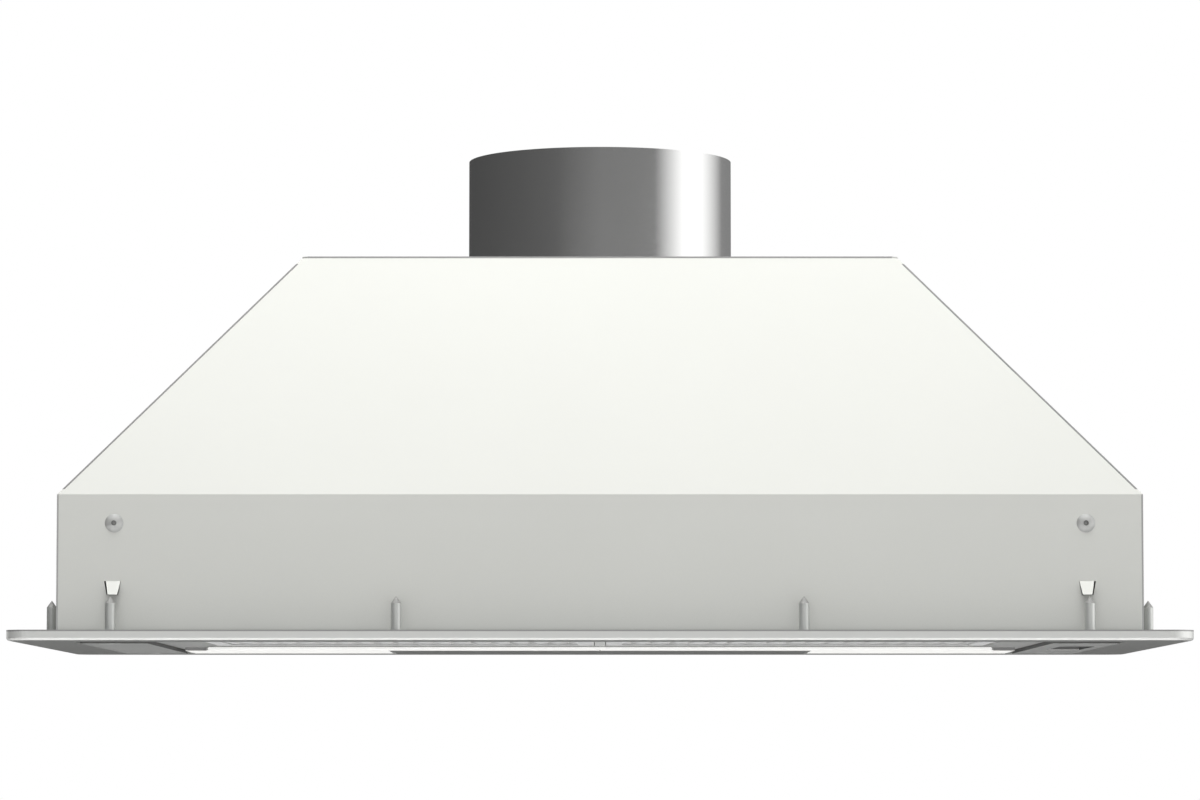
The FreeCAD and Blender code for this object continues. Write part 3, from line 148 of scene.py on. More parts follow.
class Graph:
    """Node tree of one material or world, written as short expressions."""

    def __init__(self, tree: bpy.types.NodeTree) -> None:
        """Start from an empty tree."""
        self.tree = tree
        self.tree.nodes.clear()

    def node(self, kind: str, settings: dict[str, Any], sockets: dict[str | int, Any]) -> bpy.types.Node:
        """Add a node.

        Args:
            kind: Blender's name of the node type.
            settings: properties, set first; "stops" gives a colour ramp's stops.
            sockets: input name or index to a value, a Signal or an output socket.

        Returns:
            The new node.
        """
        made = self.tree.nodes.new(kind)
        for name, value in settings.items():
            if name == "stops":
                self._set_stops(made.color_ramp, value)
            else:
                setattr(made, name, value)
        for name, value in sockets.items():
            source = value.socket if isinstance(value, Signal) else value
            if isinstance(source, bpy.types.NodeSocket):
                self.tree.links.new(source, made.inputs[name])
            else:
                made.inputs[name].default_value = source
        return made

    @staticmethod
    def _set_stops(ramp: bpy.types.ColorRamp, stops: Sequence[tuple[float, Colour]]) -> None:
        """Write a ramp's positions and colours.

        Args:
            ramp: the ramp to change.
            stops: position and colour of each stop, in order.
        """
        while len(ramp.elements) < len(stops):
            ramp.elements.new(1.0)
        for element, (position, colour) in zip(ramp.elements, stops):
            element.position = position
            element.color = (*colour, 1.0)

    def value(self, node: bpy.types.Node, output: str | int = 0) -> Signal:
        """Output of a node as a Signal."""
        return Signal(self, node.outputs[output])

    def place(self) -> bpy.types.NodeSocket:
        """Coordinates fixed to the object, in metres."""
        return self.node("ShaderNodeTexCoord", {}, {}).outputs["Object"]

    def stretched(self, scale: Sequence[float]) -> bpy.types.NodeSocket:
        """Object coordinates scaled per axis."""
        mapping = self.node("ShaderNodeMapping", {}, {"Vector": self.place(), "Scale": tuple(scale)})
        return mapping.outputs["Vector"]

    def noise(self, scale: float, detail: float, stretch: Sequence[float] = (1, 1, 1)) -> Signal:
        """Noise between 0 and 1.

        Args:
            scale: features per metre.
            detail: octaves.
            stretch: scale per axis, under 1 to draw features out.

        Returns:
            The noise value.
        """
        sockets = {"Vector": self.stretched(stretch), "Scale": scale, "Detail": detail}
        return self.value(self.node("ShaderNodeTexNoise", {"noise_dimensions": "3D"}, sockets))

    def blend(self, factor: Any, first: Any, second: Any) -> bpy.types.NodeSocket:
        """Mix of two colours."""
        sockets = {0: factor, 6: _rgba(first), 7: _rgba(second)}
        return self.node("ShaderNodeMix", {"data_type": "RGBA"}, sockets).outputs[2]

    def bump(self, height: Signal, strength: float, distance: float) -> bpy.types.NodeSocket:
        """Normal from a height signal."""
        sockets = {"Strength": strength, "Distance": distance, "Height": height}
        return self.node("ShaderNodeBump", {}, sockets).outputs["Normal"]

    def edge(self, radius: float) -> Signal:
        """Find sharp edges.

        Args:
            radius: reach from an edge, in metres.

        Returns:
            Nothing on flat faces, rising along edges.
        """
        soft = self.node("ShaderNodeBevel", {"samples": EDGE_SAMPLES}, {"Radius": radius})
        flat = self.node("ShaderNodeNewGeometry", {}, {})
        dot = self.node("ShaderNodeVectorMath", {"operation": "DOT_PRODUCT"},
                        {0: soft.outputs["Normal"], 1: flat.outputs["Normal"]})
        return (1 - self.value(dot, "Value")) * EDGE_GAIN

    def crease(self, reach: float) -> Signal:
        """One in the open, falling in corners within a reach in metres."""
        made = self.node("ShaderNodeAmbientOcclusion", {"samples": CREASE_SAMPLES}, {"Distance": reach})
        return self.value(made, "AO")

    def along(self, axis: str) -> Signal:
        """Distance along an axis from the object's origin, in metres."""
        return self.value(self.node("ShaderNodeSeparateXYZ", {}, {"Vector": self.place()}), axis)

    def level(self) -> Signal:
        """One on level faces, nothing on upright ones."""
        return self.facing(Facing.UP).size().step(SQUARE_FROM, LEVEL_GAIN)

    def facing(self, toward: Facing) -> Signal:
        """Compare the surface's normal with a direction.

        Args:
            toward: the direction.

        Returns:
            Cosine of the angle between them.
        """
        flat = self.node("ShaderNodeNewGeometry", {}, {})
        dot = self.node("ShaderNodeVectorMath", {"operation": "DOT_PRODUCT"},
                        {0: flat.outputs["Normal"], 1: toward.value})
        return self.value(dot, "Value")


def _rgba(colour: Any) -> Any:
    """Give a plain colour full alpha.

    Args:
        colour: three values, or a socket.

    Returns:
        Four values, or the socket unchanged.
    """
    if isinstance(colour, tuple) and len(colour) == 3:
        return (*colour, 1.0)
    return colour


def blank_material(name: str) -> tuple[bpy.types.Material, Graph]:
    """Make a material without nodes.

    Args:
        name: name of the material.

    Returns:
        The material and its empty graph.
    """
    made = bpy.data.materials.new(name)
    made.use_nodes = True
    return made, Graph(made.node_tree)


def add_piece(name: str, mesh: bmesh.types.BMesh) -> bpy.types.Object:
    """Turn a finished mesh into an object of the scene.

    Args:
        name: name of the object and its mesh.
        mesh: the mesh, which is freed.

    Returns:
        The new object.
    """
    data = bpy.data.meshes.new(name)
    mesh.to_mesh(data)
    mesh.free()
    piece = bpy.data.objects.new(name, data)
    bpy.context.scene.collection.objects.link(piece)
    return piece


@dataclass(frozen=True)
class Finish:
    """A surface finish for one kind of piece.

    Fields give the colour, gloss and the fine variation of the surface, and painted shade in creases.
    """

    name: str
    colour: Colour
    roughness: float = 0.5
    metallic: float = 0.0
    mottle: float = 0.04
    mottle_dark: float = 2.0
    mottle_light: float = 0.5
    mottle_scale: float = 9.0
    grain: Grain = Grain.NONE
    grain_depth: float = 0.0
    grain_scale: float = 900.0
    grain_shade: float = 0.02
    wear: float = 0.05
    wear_radius: float = 0.0008
    coat: float = 0.0
    specular: float = 0.5
    gloss_drift: float = 0.12
    crease_shade: float = 0.0
    crease_reach: float = 0.06
    cloud_share: float = 0.8
    cloud_gloss: float = 0.06
    streak_gain: float = 10.0
    streak_bump: float = 0.25
    worn_gain: float = 1.12
    worn_lift: float = 0.02

    def tint(self, graph: Graph, base: bpy.types.NodeSocket) -> bpy.types.NodeSocket:
        """Colour after any change by place and facing; plain finishes keep it."""
        return base

    def metal(self, graph: Graph) -> Any:
        """Share of bare metal, as a number or a Signal."""
        return self.metallic

    def extra(self, graph: Graph) -> dict[str, Any]:
        """Sockets of the shader to add or replace; plain finishes have none."""
        return {}

    def surface(self, graph: Graph) -> bpy.types.Node:
        """Principled shader with this finish's variation.

        Args:
            graph: the material's graph.

        Returns:
            The Principled node.
        """
        cloud = graph.noise(self.mottle_scale, CLOUD_OCTAVES)
        streak = graph.noise(self.grain_scale, STREAK_OCTAVES, self.grain.value)
        worn = graph.edge(self.wear_radius)
        dark = tuple(channel * (1 - self.mottle_dark * self.mottle) for channel in self.colour)
        light = tuple(min(1.0, channel * (1 + self.mottle_light * self.mottle)) for channel in self.colour)
        edge = tuple(min(1.0, channel * self.worn_gain + self.worn_lift) for channel in self.colour)
        share = cloud * self.cloud_share + streak * self.grain_shade * self.streak_gain
        base = graph.blend(share, dark, light)
        base = self.tint(graph, graph.blend(worn * self.wear, base, edge))
        # painted shade: the colour darkens towards black in creases and corners
        if self.crease_shade > 0.0:
            shade = (1 - graph.crease(self.crease_reach)) * self.crease_shade
            base = graph.blend(shade, base, PURE_BLACK)
        rough = self.roughness + (streak - NOISE_MEAN) * self.gloss_drift
        rough = rough + (cloud - NOISE_MEAN) * self.cloud_gloss
        sockets = {"Base Color": base, "Roughness": rough, "Metallic": self.metal(graph),
                   "Coat Weight": self.coat, "Specular IOR Level": self.specular}
        if self.grain_depth > 0.0:
            sockets["Normal"] = graph.bump(streak, self.streak_bump, self.grain_depth)
        sockets.update(self.extra(graph))
        return graph.node("ShaderNodeBsdfPrincipled", {}, sockets)

    def material(self) -> bpy.types.Material:
        """Make a material with this finish.

        Returns:
            The new material.
        """
        made, graph = blank_material(self.name)
        shader = self.surface(graph)
        graph.node("ShaderNodeOutputMaterial", {}, {"Surface": shader.outputs["BSDF"]})
        return made


@dataclass(frozen=True)
class LippedSteel(Finish):
    """Pan sheet: painted highlight along the lip's lower edge, painted shade along its top and on the dull
    underside.
    """

    # painted shade: a darker tone, with brushed streaks, for faces that look down
    under_shade: Colour = (0.62, 0.625, 0.61)
    # painted highlight where the lip rolls round, and its gain
    rolled: Colour = (0.92, 0.92, 0.90)
    glint_gain: float = 23.0
    flat_from: float = 0.92
    flat_gain: float = 14.0
    flat_satin: float = 0.27
    # painted shade: a dark line along the top of the lip, above the given height
    hem_shade: Colour = (0.34, 0.34, 0.335)
    hem_from: float = 0.0048
    recess_from: float = 0.001
    recess_half: float = 0.2485
    recess_sheen: float = 0.4
    bar_half: float = 0.0042
    bar_from: float = -0.134
    rail_half: float = 0.215
    rail_from: float = 0.047
    rail_sheen: float = 0.6
    under_drift: float = 0.16
    turn_from: float = 0.05
    turn_gain: float = 4.0
    turn_share: float = 0.35

    def _down(self, graph: Graph) -> Signal:
        """How squarely the surface looks down."""
        return graph.facing(Facing.DOWN).larger(0.0)

    def _flat(self, graph: Graph) -> Signal:
        """One where the sheet lies flat, looking down."""
        return self._down(graph).step(self.flat_from, self.flat_gain)

    def tint(self, graph: Graph, base: bpy.types.NodeSocket) -> bpy.types.NodeSocket:
        """Painted shade on the flat underside and along the top of the lip, and a painted highlight where the
        lip rolls round.

        Args:
            graph: the material's graph.
            base: colour of the plain sheet.

        Returns:
            The colour by place and facing.
        """
        # painted shade along the top of the lip
        base = graph.blend(graph.along("Z").step(self.hem_from, SHARP), base, self.hem_shade)
        # painted shade, with brushed streaks, on the flat underside
        streak = graph.noise(self.grain_scale, STREAK_OCTAVES, self.grain.value)
        dark = tuple(channel * (1 - self.under_drift) for channel in self.under_shade)
        light = tuple(channel * (1 + self.under_drift) for channel in self.under_shade)
        base = graph.blend(self._flat(graph), base, graph.blend(streak, dark, light))
        # painted highlight on the front of the lip's rounded lower edge
        front = graph.facing(Facing.FRONT).larger(0.0)
        square = self._down(graph) * self._down(graph)
        glint = square * square * (1 - self._down(graph)) * front * front * self.glint_gain
        return graph.blend(glint, base, self.rolled)

    def metal(self, graph: Graph) -> Signal:
        """Bare metal along the lip, less in the recess, with duller ends.

        Args:
            graph: the material's graph.

        Returns:
            Share of bare metal; the bar and rail of the recess have more.
        """
        flat = self._flat(graph)
        recess = graph.along("Z").step(self.recess_from, SHARP)
        inside = 1 - graph.along("X").size().step(self.recess_half, SHARP)
        bar = graph.along("Y").step(self.bar_from, SHARP)
        bar = bar * (1 - graph.along("X").size().step(self.bar_half, SHARP))
        rail = graph.along("Y").step(self.rail_from, SHARP)
        rail = rail * (1 - graph.along("X").size().step(self.rail_half, SHARP))
        sheen = inside * self.recess_sheen + bar.larger(rail) * self.rail_sheen
        turned = graph.facing(Facing.RIGHT).size().step(self.turn_from, self.turn_gain)
        return (1 - flat + flat * recess * sheen) * (1 - turned * self.turn_share) * self.metallic

    def extra(self, graph: Graph) -> dict[str, Any]:
        """Satin where the sheet lies flat."""
        return {"Roughness": self._flat(graph) * self.flat_satin + self.roughness}


@dataclass(frozen=True)
class CutSheet(Finish):
    """Metal with painted shade on its faces along one axis: dark lines along sheet edges, darkest where such
    faces look up into the light.
    """

    # painted shade on faces along the axis, and a darker one on those that look up
    cut_shade: Colour = (0.33, 0.33, 0.325)
    lit_cut_shade: Colour = (0.2, 0.2, 0.197)
    cut_from: float = 0.55
    lit_from: float = 0.2
    axis: Facing = Facing.REAR

    def tint(self, graph: Graph, base: bpy.types.NodeSocket) -> bpy.types.NodeSocket:
        """Painted shade on faces along the axis, with a darker painted shade where they look up."""
        edge = graph.blend(graph.facing(Facing.UP).step(self.lit_from, FOLD_GAIN), self.cut_shade, self.lit_cut_shade)
        return graph.blend(graph.facing(self.axis).size().step(self.cut_from, FOLD_GAIN), base, edge)


@dataclass(frozen=True)
class DomedHead(Finish):
    """Low dome on an upright face, with painted shade round its edge where it turns away from the front."""

    # painted shade round the edge of the dome
    rim_shade: Colour = (0.3, 0.3, 0.295)
    rim_from: float = 0.74
    rim_gain: float = 6.0

    def tint(self, graph: Graph, base: bpy.types.NodeSocket) -> bpy.types.NodeSocket:
        """Painted shade round the edge of the dome."""
        square = graph.facing(Facing.REAR).size().step(self.rim_from, self.rim_gain)
        return graph.blend(square, self.rim_shade, base)


@dataclass(frozen=True)
class TrayCover(Finish):
    """Sheet with painted light and shade on its upright faces: one painted tone on them, and another at the
    rear end of a well.
    """

    # painted light and shade: tone of the upright faces, and of the rear end of a well
    wall_lighting: Colour = (0.22, 0.22, 0.215)
    well_end_lighting: Colour = (0.92, 0.92, 0.90)
    well_end_from: float = 0.02

    def tint(self, graph: Graph, base: bpy.types.NodeSocket) -> bpy.types.NodeSocket:
        """Painted tone on upright faces, and another at the rear end of a well.

        Args:
            graph: the material's graph.
            base: colour of the level faces.

        Returns:
            The colour by facing.
        """
        front = graph.facing(Facing.FRONT).step(SQUARE_FROM, FOLD_GAIN)
        end = front * graph.along("Y").step(self.well_end_from, SHARP)
        wall_lighting = graph.blend(end, self.wall_lighting, self.well_end_lighting)
        return graph.blend(graph.level(), wall_lighting, base)


@dataclass(frozen=True)
class FrostedLens(Finish):
    """Milky diffuser with a faint painted glow, though no lamp lights it, and painted shade on its upright
    faces.
    """

    # painted glow: its strength, and the share of tone and glow kept on upright faces as painted shade
    glow: float = 0.52
    upright: float = 1.0
    light: Colour = (1.0, 0.99, 0.96)
    ribs: float = 260.0
    rib_bump: float = 0.2
    rib_depth: float = 0.0002

    def tint(self, graph: Graph, base: bpy.types.NodeSocket) -> bpy.types.NodeSocket:
        """Painted shade: upright faces keep only their share of the tone."""
        shade = tuple(channel * self.upright for channel in self.colour)
        return graph.blend(graph.level(), shade, base)

    def extra(self, graph: Graph) -> dict[str, Any]:
        """Fine prism ribs and a faint painted glow, dimmer on upright faces.

        Args:
            graph: the material's graph.

        Returns:
            Sockets for the ribs and the painted glow.
        """
        wave = graph.node("ShaderNodeTexWave", {"bands_direction": "X"},
                          {"Vector": graph.place(), "Scale": self.ribs})
        dim = (self.upright, self.upright, self.upright)
        return {"Normal": graph.bump(graph.value(wave, "Fac"), self.rib_bump, self.rib_depth),
                "Emission Color": graph.blend(graph.level(), dim, self.light),
                "Emission Strength": self.glow}


@dataclass(frozen=True)
class BulbGlass(Finish):
    """Thin clear glass of a bulb."""

    clear: float = 0.85
    bend: float = 1.1

    def extra(self, graph: Graph) -> dict[str, Any]:
        """Clear glass sockets."""
        return {"Transmission Weight": self.clear, "IOR": self.bend}


class Finishes:
    """All finishes of the hood, made once."""

    # painted shade in creases and corners, darkening the sheet near the flange and joints
    CANOPY = Finish("canopy_sheet", (0.585, 0.59, 0.56), roughness=0.46, metallic=0.25, mottle=0.025,
                    grain=Grain.ALONG_X, grain_depth=0.00002, grain_shade=0.01, wear=0.35, crease_shade=0.35)
    # painted shade on the sheet edges that look front and rear
    SIDE = CutSheet("canopy_side_sheet", (0.585, 0.59, 0.56), roughness=0.46, metallic=0.25, mottle=0.025,
                    grain=Grain.ALONG_Y, grain_depth=0.00002, grain_shade=0.01, wear=0.0)
    # painted shade: a darker tone than the canopy sheet, so the top plate, looking up at the key lamp, stays
    # below white; also painted shade in creases and on faces looking front and rear
    TOP = CutSheet("canopy_top_sheet", (0.53, 0.535, 0.51), roughness=0.46, metallic=0.25, mottle=0.025,
                   grain=Grain.ALONG_X, grain_depth=0.00002, grain_shade=0.01, wear=0.0, crease_shade=0.35,
                   cut_from=0.8)
    # painted highlight on the lip, painted shade along its top and on the underside
    PAN = LippedSteel("pan_steel", (0.72, 0.725, 0.705), roughness=0.28, metallic=0.75, mottle=0.015,
                      grain=Grain.ALONG_X, grain_depth=0.000002, grain_shade=0.005, wear=0.0, specular=0.0)
    COVER = Finish("cover_steel", (0.62, 0.625, 0.61), roughness=0.42, mottle=0.03,
                   grain=Grain.ALONG_Y, grain_depth=0.00003, grain_shade=0.02, wear=0.1, specular=0.0)
    # painted shade on the upright faces and painted light at the rear end of the control panel's well
    SIDE_COVER = TrayCover("side_cover_steel", (0.645, 0.65, 0.635), roughness=0.4, metallic=0.2, mottle=0.03,
                           grain=Grain.ALONG_Y, grain_depth=0.00003, grain_shade=0.02, wear=0.0, specular=0.0)
    COLLAR = Finish("collar_polished", (0.60, 0.60, 0.595), roughness=0.13, metallic=1.0, mottle=0.02,
                    grain=Grain.AROUND_Z, grain_depth=0.00001, grain_scale=1500.0, grain_shade=0.02, wear=0.3)
    GALVANISED = Finish("galvanised_sheet", (0.50, 0.52, 0.53), roughness=0.42, metallic=0.8, mottle=0.12,
                        mottle_scale=60.0, grain_shade=0.02, wear=0.2)
    ZINC = Finish("zinc_plated", (0.52, 0.53, 0.51), roughness=0.34, metallic=0.75, mottle=0.05,
                  mottle_scale=120.0, grain=Grain.AROUND_Z, grain_depth=0.00004, wear=0.4)
    # painted shade on faces that look up or down, darkening the cone tips
    STUD = CutSheet("stud_zinc", (0.58, 0.59, 0.57), roughness=0.42, metallic=0.75, mottle=0.05,
                    mottle_scale=120.0, grain=Grain.AROUND_Z, grain_depth=0.00004, wear=0.0,
                    cut_shade=(0.36, 0.36, 0.35), lit_cut_shade=(0.36, 0.36, 0.35), cut_from=0.2, axis=Facing.UP)
    RING = Finish("collar_flange", (0.58, 0.58, 0.575), roughness=0.4, metallic=0.9, mottle=0.04,
                  grain=Grain.AROUND_Z, grain_depth=0.00001, grain_shade=0.02, wear=0.2)
    # painted shade round the edge of the dome and in the creases at its foot
    RIVET = DomedHead("rivet_aluminium", (0.54, 0.545, 0.53), roughness=0.38, metallic=0.6, mottle=0.08,
                      mottle_scale=200.0, wear=0.2, crease_shade=0.9, crease_reach=0.0016)
    FILTER = Finish("filter_aluminium", (0.68, 0.685, 0.68), roughness=0.38, metallic=0.5, mottle=0.06,
                    mottle_scale=40.0, grain=Grain.ALONG_X, grain_depth=0.00002, wear=0.4)
    # painted light: upright faces and the rear end of a well in a lighter tone than the net
    NET = TrayCover("filter_net_aluminium", (0.87, 0.875, 0.87), roughness=0.38, metallic=0.5, mottle=0.06,
                    mottle_scale=40.0, grain=Grain.ALONG_X, grain_depth=0.00002, wear=0.0,
                    wall_lighting=(0.95, 0.95, 0.93), well_end_lighting=(0.95, 0.95, 0.93))
    MESH = Finish("filter_wire", (0.60, 0.605, 0.60), roughness=0.32, metallic=0.9, mottle=0.1,
                  mottle_scale=80.0, wear=0.1)
    MOTOR = Finish("motor_paint", (0.035, 0.036, 0.04), roughness=0.45, mottle=0.1, mottle_scale=50.0,
                   grain_shade=0.03, coat=0.1, wear=0.15)
    LAMINATION = Finish("laminations", (0.16, 0.15, 0.145), roughness=0.5, metallic=0.8, mottle=0.15,
                        mottle_scale=60.0, grain=Grain.ALONG_Y, grain_depth=0.0001, wear=0.2)
    SHAFT = Finish("ground_steel", (0.55, 0.55, 0.56), roughness=0.2, metallic=1.0, mottle=0.03,
                   grain=Grain.ALONG_X, grain_depth=0.00001, wear=0.2)
    BRONZE = Finish("bearing_bronze", (0.45, 0.30, 0.14), roughness=0.42, metallic=0.9, mottle=0.12,
                    mottle_scale=150.0, wear=0.2)
    FAN = Finish("fan_plastic", (0.05, 0.05, 0.054), roughness=0.48, mottle=0.08, mottle_scale=40.0,
                 grain_depth=0.00005, wear=0.15)
    BLACK = Finish("black_plastic", (0.018, 0.018, 0.02), roughness=0.42, mottle=0.1, mottle_scale=60.0,
                   grain_depth=0.00006, grain_scale=2500.0, wear=0.2)
    GREY = Finish("grey_plastic", (0.22, 0.225, 0.23), roughness=0.45, mottle=0.05, mottle_scale=50.0,
                  grain_depth=0.00005, grain_scale=2500.0, wear=0.15)
    WHITE = Finish("white_plastic", (0.72, 0.72, 0.69), roughness=0.34, mottle=0.02, mottle_scale=30.0,
                   grain_depth=0.00004, grain_scale=2500.0, coat=0.15, wear=0.1)
    ROCKER = Finish("rocker_plastic", (0.36, 0.36, 0.355), roughness=0.36, mottle=0.02, mottle_scale=30.0,
                    grain_depth=0.00004, grain_scale=2500.0, wear=0.1, specular=0.0)
    # painted glow, with painted shade on the upright faces
    LENS = FrostedLens("frosted_lens", (0.80, 0.80, 0.77), roughness=0.42, mottle=0.015, mottle_scale=20.0,
                       upright=0.2)
    # painted glow on the whole strip, though no lamp lights it
    STRIP = FrostedLens("diffuser_strip", (0.80, 0.80, 0.77), roughness=0.42, mottle=0.015, mottle_scale=20.0)
    REFLECTOR = Finish("bright_reflector", (0.82, 0.82, 0.81), roughness=0.16, metallic=1.0, mottle=0.03,
                       mottle_scale=70.0, grain_shade=0.02, wear=0.2)
    GLASS = BulbGlass("bulb_glass", (0.95, 0.95, 0.92), roughness=0.06, mottle=0.01)
    SPRING = Finish("spring_steel", (0.34, 0.35, 0.37), roughness=0.28, metallic=1.0, mottle=0.06,
                    mottle_scale=90.0, grain=Grain.ALONG_Y, grain_depth=0.00002, wear=0.2)
    LEAD = Finish("lead_sheath", (0.02, 0.02, 0.021), roughness=0.55, mottle=0.08, mottle_scale=80.0,
                  grain_depth=0.00008, grain_scale=1800.0, wear=0.05)

    def __init__(self) -> None:
        """Start with no material made."""
        self._made: dict[str, bpy.types.Material] = {}

    def get(self, finish: Finish) -> bpy.types.Material:
        """Find a finish's material, made on first use.

        Args:
            finish: the finish.

        Returns:
            Its material.
        """
        if finish.name not in self._made:
            self._made[finish.name] = finish.material()
        return self._made[finish.name]

    def dress(self, finish: Finish, nodes: Iterable[str]) -> None:
        """Give CAD nodes a finish.

        Args:
            finish: the finish to use.
            nodes: names of CAD nodes.
        """
        material = self.get(finish)
        for name in nodes:
            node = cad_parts[name]
            for slot in node.material_slots:
                slot.material = material
            LOG.info("dressed %s as %s", name, finish.name)


def both(name: str) -> list[str]:
    """Left and right node of a paired piece."""
    return ["left_" + name, "right_" + name]


@dataclass
class Canopy:
    """Sheet body: panels, top plate and what joins them."""

    def dress(self, finishes: Finishes) -> None:
        """Give the canopy its satin sheet and its fixings their metal.

        Args:
            finishes: the hood's finishes.
        """
        finishes.dress(Finishes.CANOPY, ["front_panel", "rear_panel"])
        finishes.dress(Finishes.SIDE, both("side_panel"))
        finishes.dress(Finishes.TOP, ["top_plate"])
        finishes.dress(Finishes.GALVANISED, ["corner_brackets"])
        finishes.dress(Finishes.RIVET, ["body_rivets"])


@dataclass
class Pan:
    """Bottom pan with its frame, screws and covers."""

    def dress(self, finishes: Finishes) -> None:
        """Give the pan and covers brushed steel, and their fixings plain metal.

        Args:
            finishes: the hood's finishes.
        """
        finishes.dress(Finishes.PAN, ["bottom_pan"])
        finishes.dress(Finishes.COVER, ["wiring_cover"])
        finishes.dress(Finishes.SIDE_COVER, ["left_cover_panel", "control_panel"])
        finishes.dress(Finishes.GALVANISED, ["mounting_frame"])
        finishes.dress(Finishes.STUD, ["flange_screws"])
        finishes.dress(Finishes.ZINC, ["cover_screws", "filter_hinge_brackets"])
        finishes.dress(Finishes.SPRING, both("filter_keeper"))


@dataclass
class Collar:
    """Polished duct collar and its damper."""

    def dress(self, finishes: Finishes) -> None:
        """Give the collar its polish and the damper plain sheet.

        Args:
            finishes: the hood's finishes.
        """
        finishes.dress(Finishes.COLLAR, ["duct_collar"])
        finishes.dress(Finishes.RING, ["collar_ring"])
        finishes.dress(Finishes.ZINC, ["collar_screws"])
        finishes.dress(Finishes.GALVANISED, ["damper_flap_front", "damper_flap_rear"])
        finishes.dress(Finishes.SHAFT, ["damper_pin"])


@dataclass
class Blower:
    """Scroll casing, fan wheel and motor."""

    def dress(self, finishes: Finishes) -> None:
        """Dress the blower's pieces.

        Args:
            finishes: the hood's finishes.
        """
        finishes.dress(Finishes.GALVANISED, ["blower_casing_left", "blower_casing_right"])
        finishes.dress(Finishes.FAN, ["impeller"])
        finishes.dress(Finishes.MOTOR, ["motor_case", "motor_end_bell"])
        finishes.dress(Finishes.LAMINATION, ["motor_rotor", "motor_stator"])
        finishes.dress(Finishes.SHAFT, ["motor_shaft"])
        finishes.dress(Finishes.BRONZE, ["motor_bearings"])
        finishes.dress(Finishes.ZINC, ["motor_bracket"])


@dataclass
class Wiring:
    """Junction box, gland, leads and switches."""

    def dress(self, finishes: Finishes) -> None:
        """Dress the electrical pieces.

        Args:
            finishes: the hood's finishes.
        """
        finishes.dress(Finishes.GALVANISED, ["junction_box", "junction_box_lid"])
        finishes.dress(Finishes.GREY, ["motor_capacitor"])
        finishes.dress(Finishes.WHITE, ["terminal_block"])
        finishes.dress(Finishes.ROCKER, ["fan_rocker", "light_rocker"])
        finishes.dress(Finishes.BLACK, ["cable_gland", "switch_housing"])
        finishes.dress(Finishes.LEAD, ["motor_lead", "switch_lead", "lamp_leads"])


@dataclass
class Lamps:
    """Lenses, reflectors, sockets and bulbs, with a diffuser strip along their front."""

    strip_depth: float = 0.0012
    strip_gap: float = 0.0001
    strip_low: float = 0.0002
    strip_drop: float = 0.0005
    strip_round: float = 0.0003
    strip_segments: int = 2
    lens_tail: float = 0.0154

    def strip(self) -> bpy.types.Object:
        """Make the strip in front of lenses and wiring cover.

        Returns:
            The new object, riding on the hood.
        """
        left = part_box("left_lamp_lens")
        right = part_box("right_lamp_lens")
        rear = right[0][1] - self.strip_gap
        low = Vector((left[0][0] + self.lens_tail, rear - self.strip_depth, self.strip_low))
        high = Vector((right[1][0] - self.lens_tail, rear, right[1][2] - self.strip_drop))
        mesh = bmesh.new()
        bmesh.ops.create_cube(mesh, size=1.0)
        for vertex in mesh.verts:
            share = vertex.co + Vector((0.5, 0.5, 0.5))
            vertex.co = Vector(a + (b - a) * s for a, b, s in zip(low, high, share))
        bmesh.ops.bevel(mesh, geom=mesh.edges[:], offset=self.strip_round, segments=self.strip_segments,
                        affect="EDGES")
        piece = add_piece("diffuser_strip", mesh)
        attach(piece, "hood")
        LOG.info("built %s with %d faces", piece.name, len(piece.data.polygons))
        return piece

    def dress(self, finishes: Finishes) -> None:
        """Build the strip and dress both lamps.

        Args:
            finishes: the hood's finishes.
        """
        # the strip carries a painted glow
        self.strip().data.materials.append(finishes.get(Finishes.STRIP))
        finishes.dress(Finishes.LENS, both("lamp_lens"))
        finishes.dress(Finishes.REFLECTOR, both("lamp_reflector"))
        finishes.dress(Finishes.WHITE, both("lamp_socket"))
        finishes.dress(Finishes.GLASS, both("lamp_bulb"))


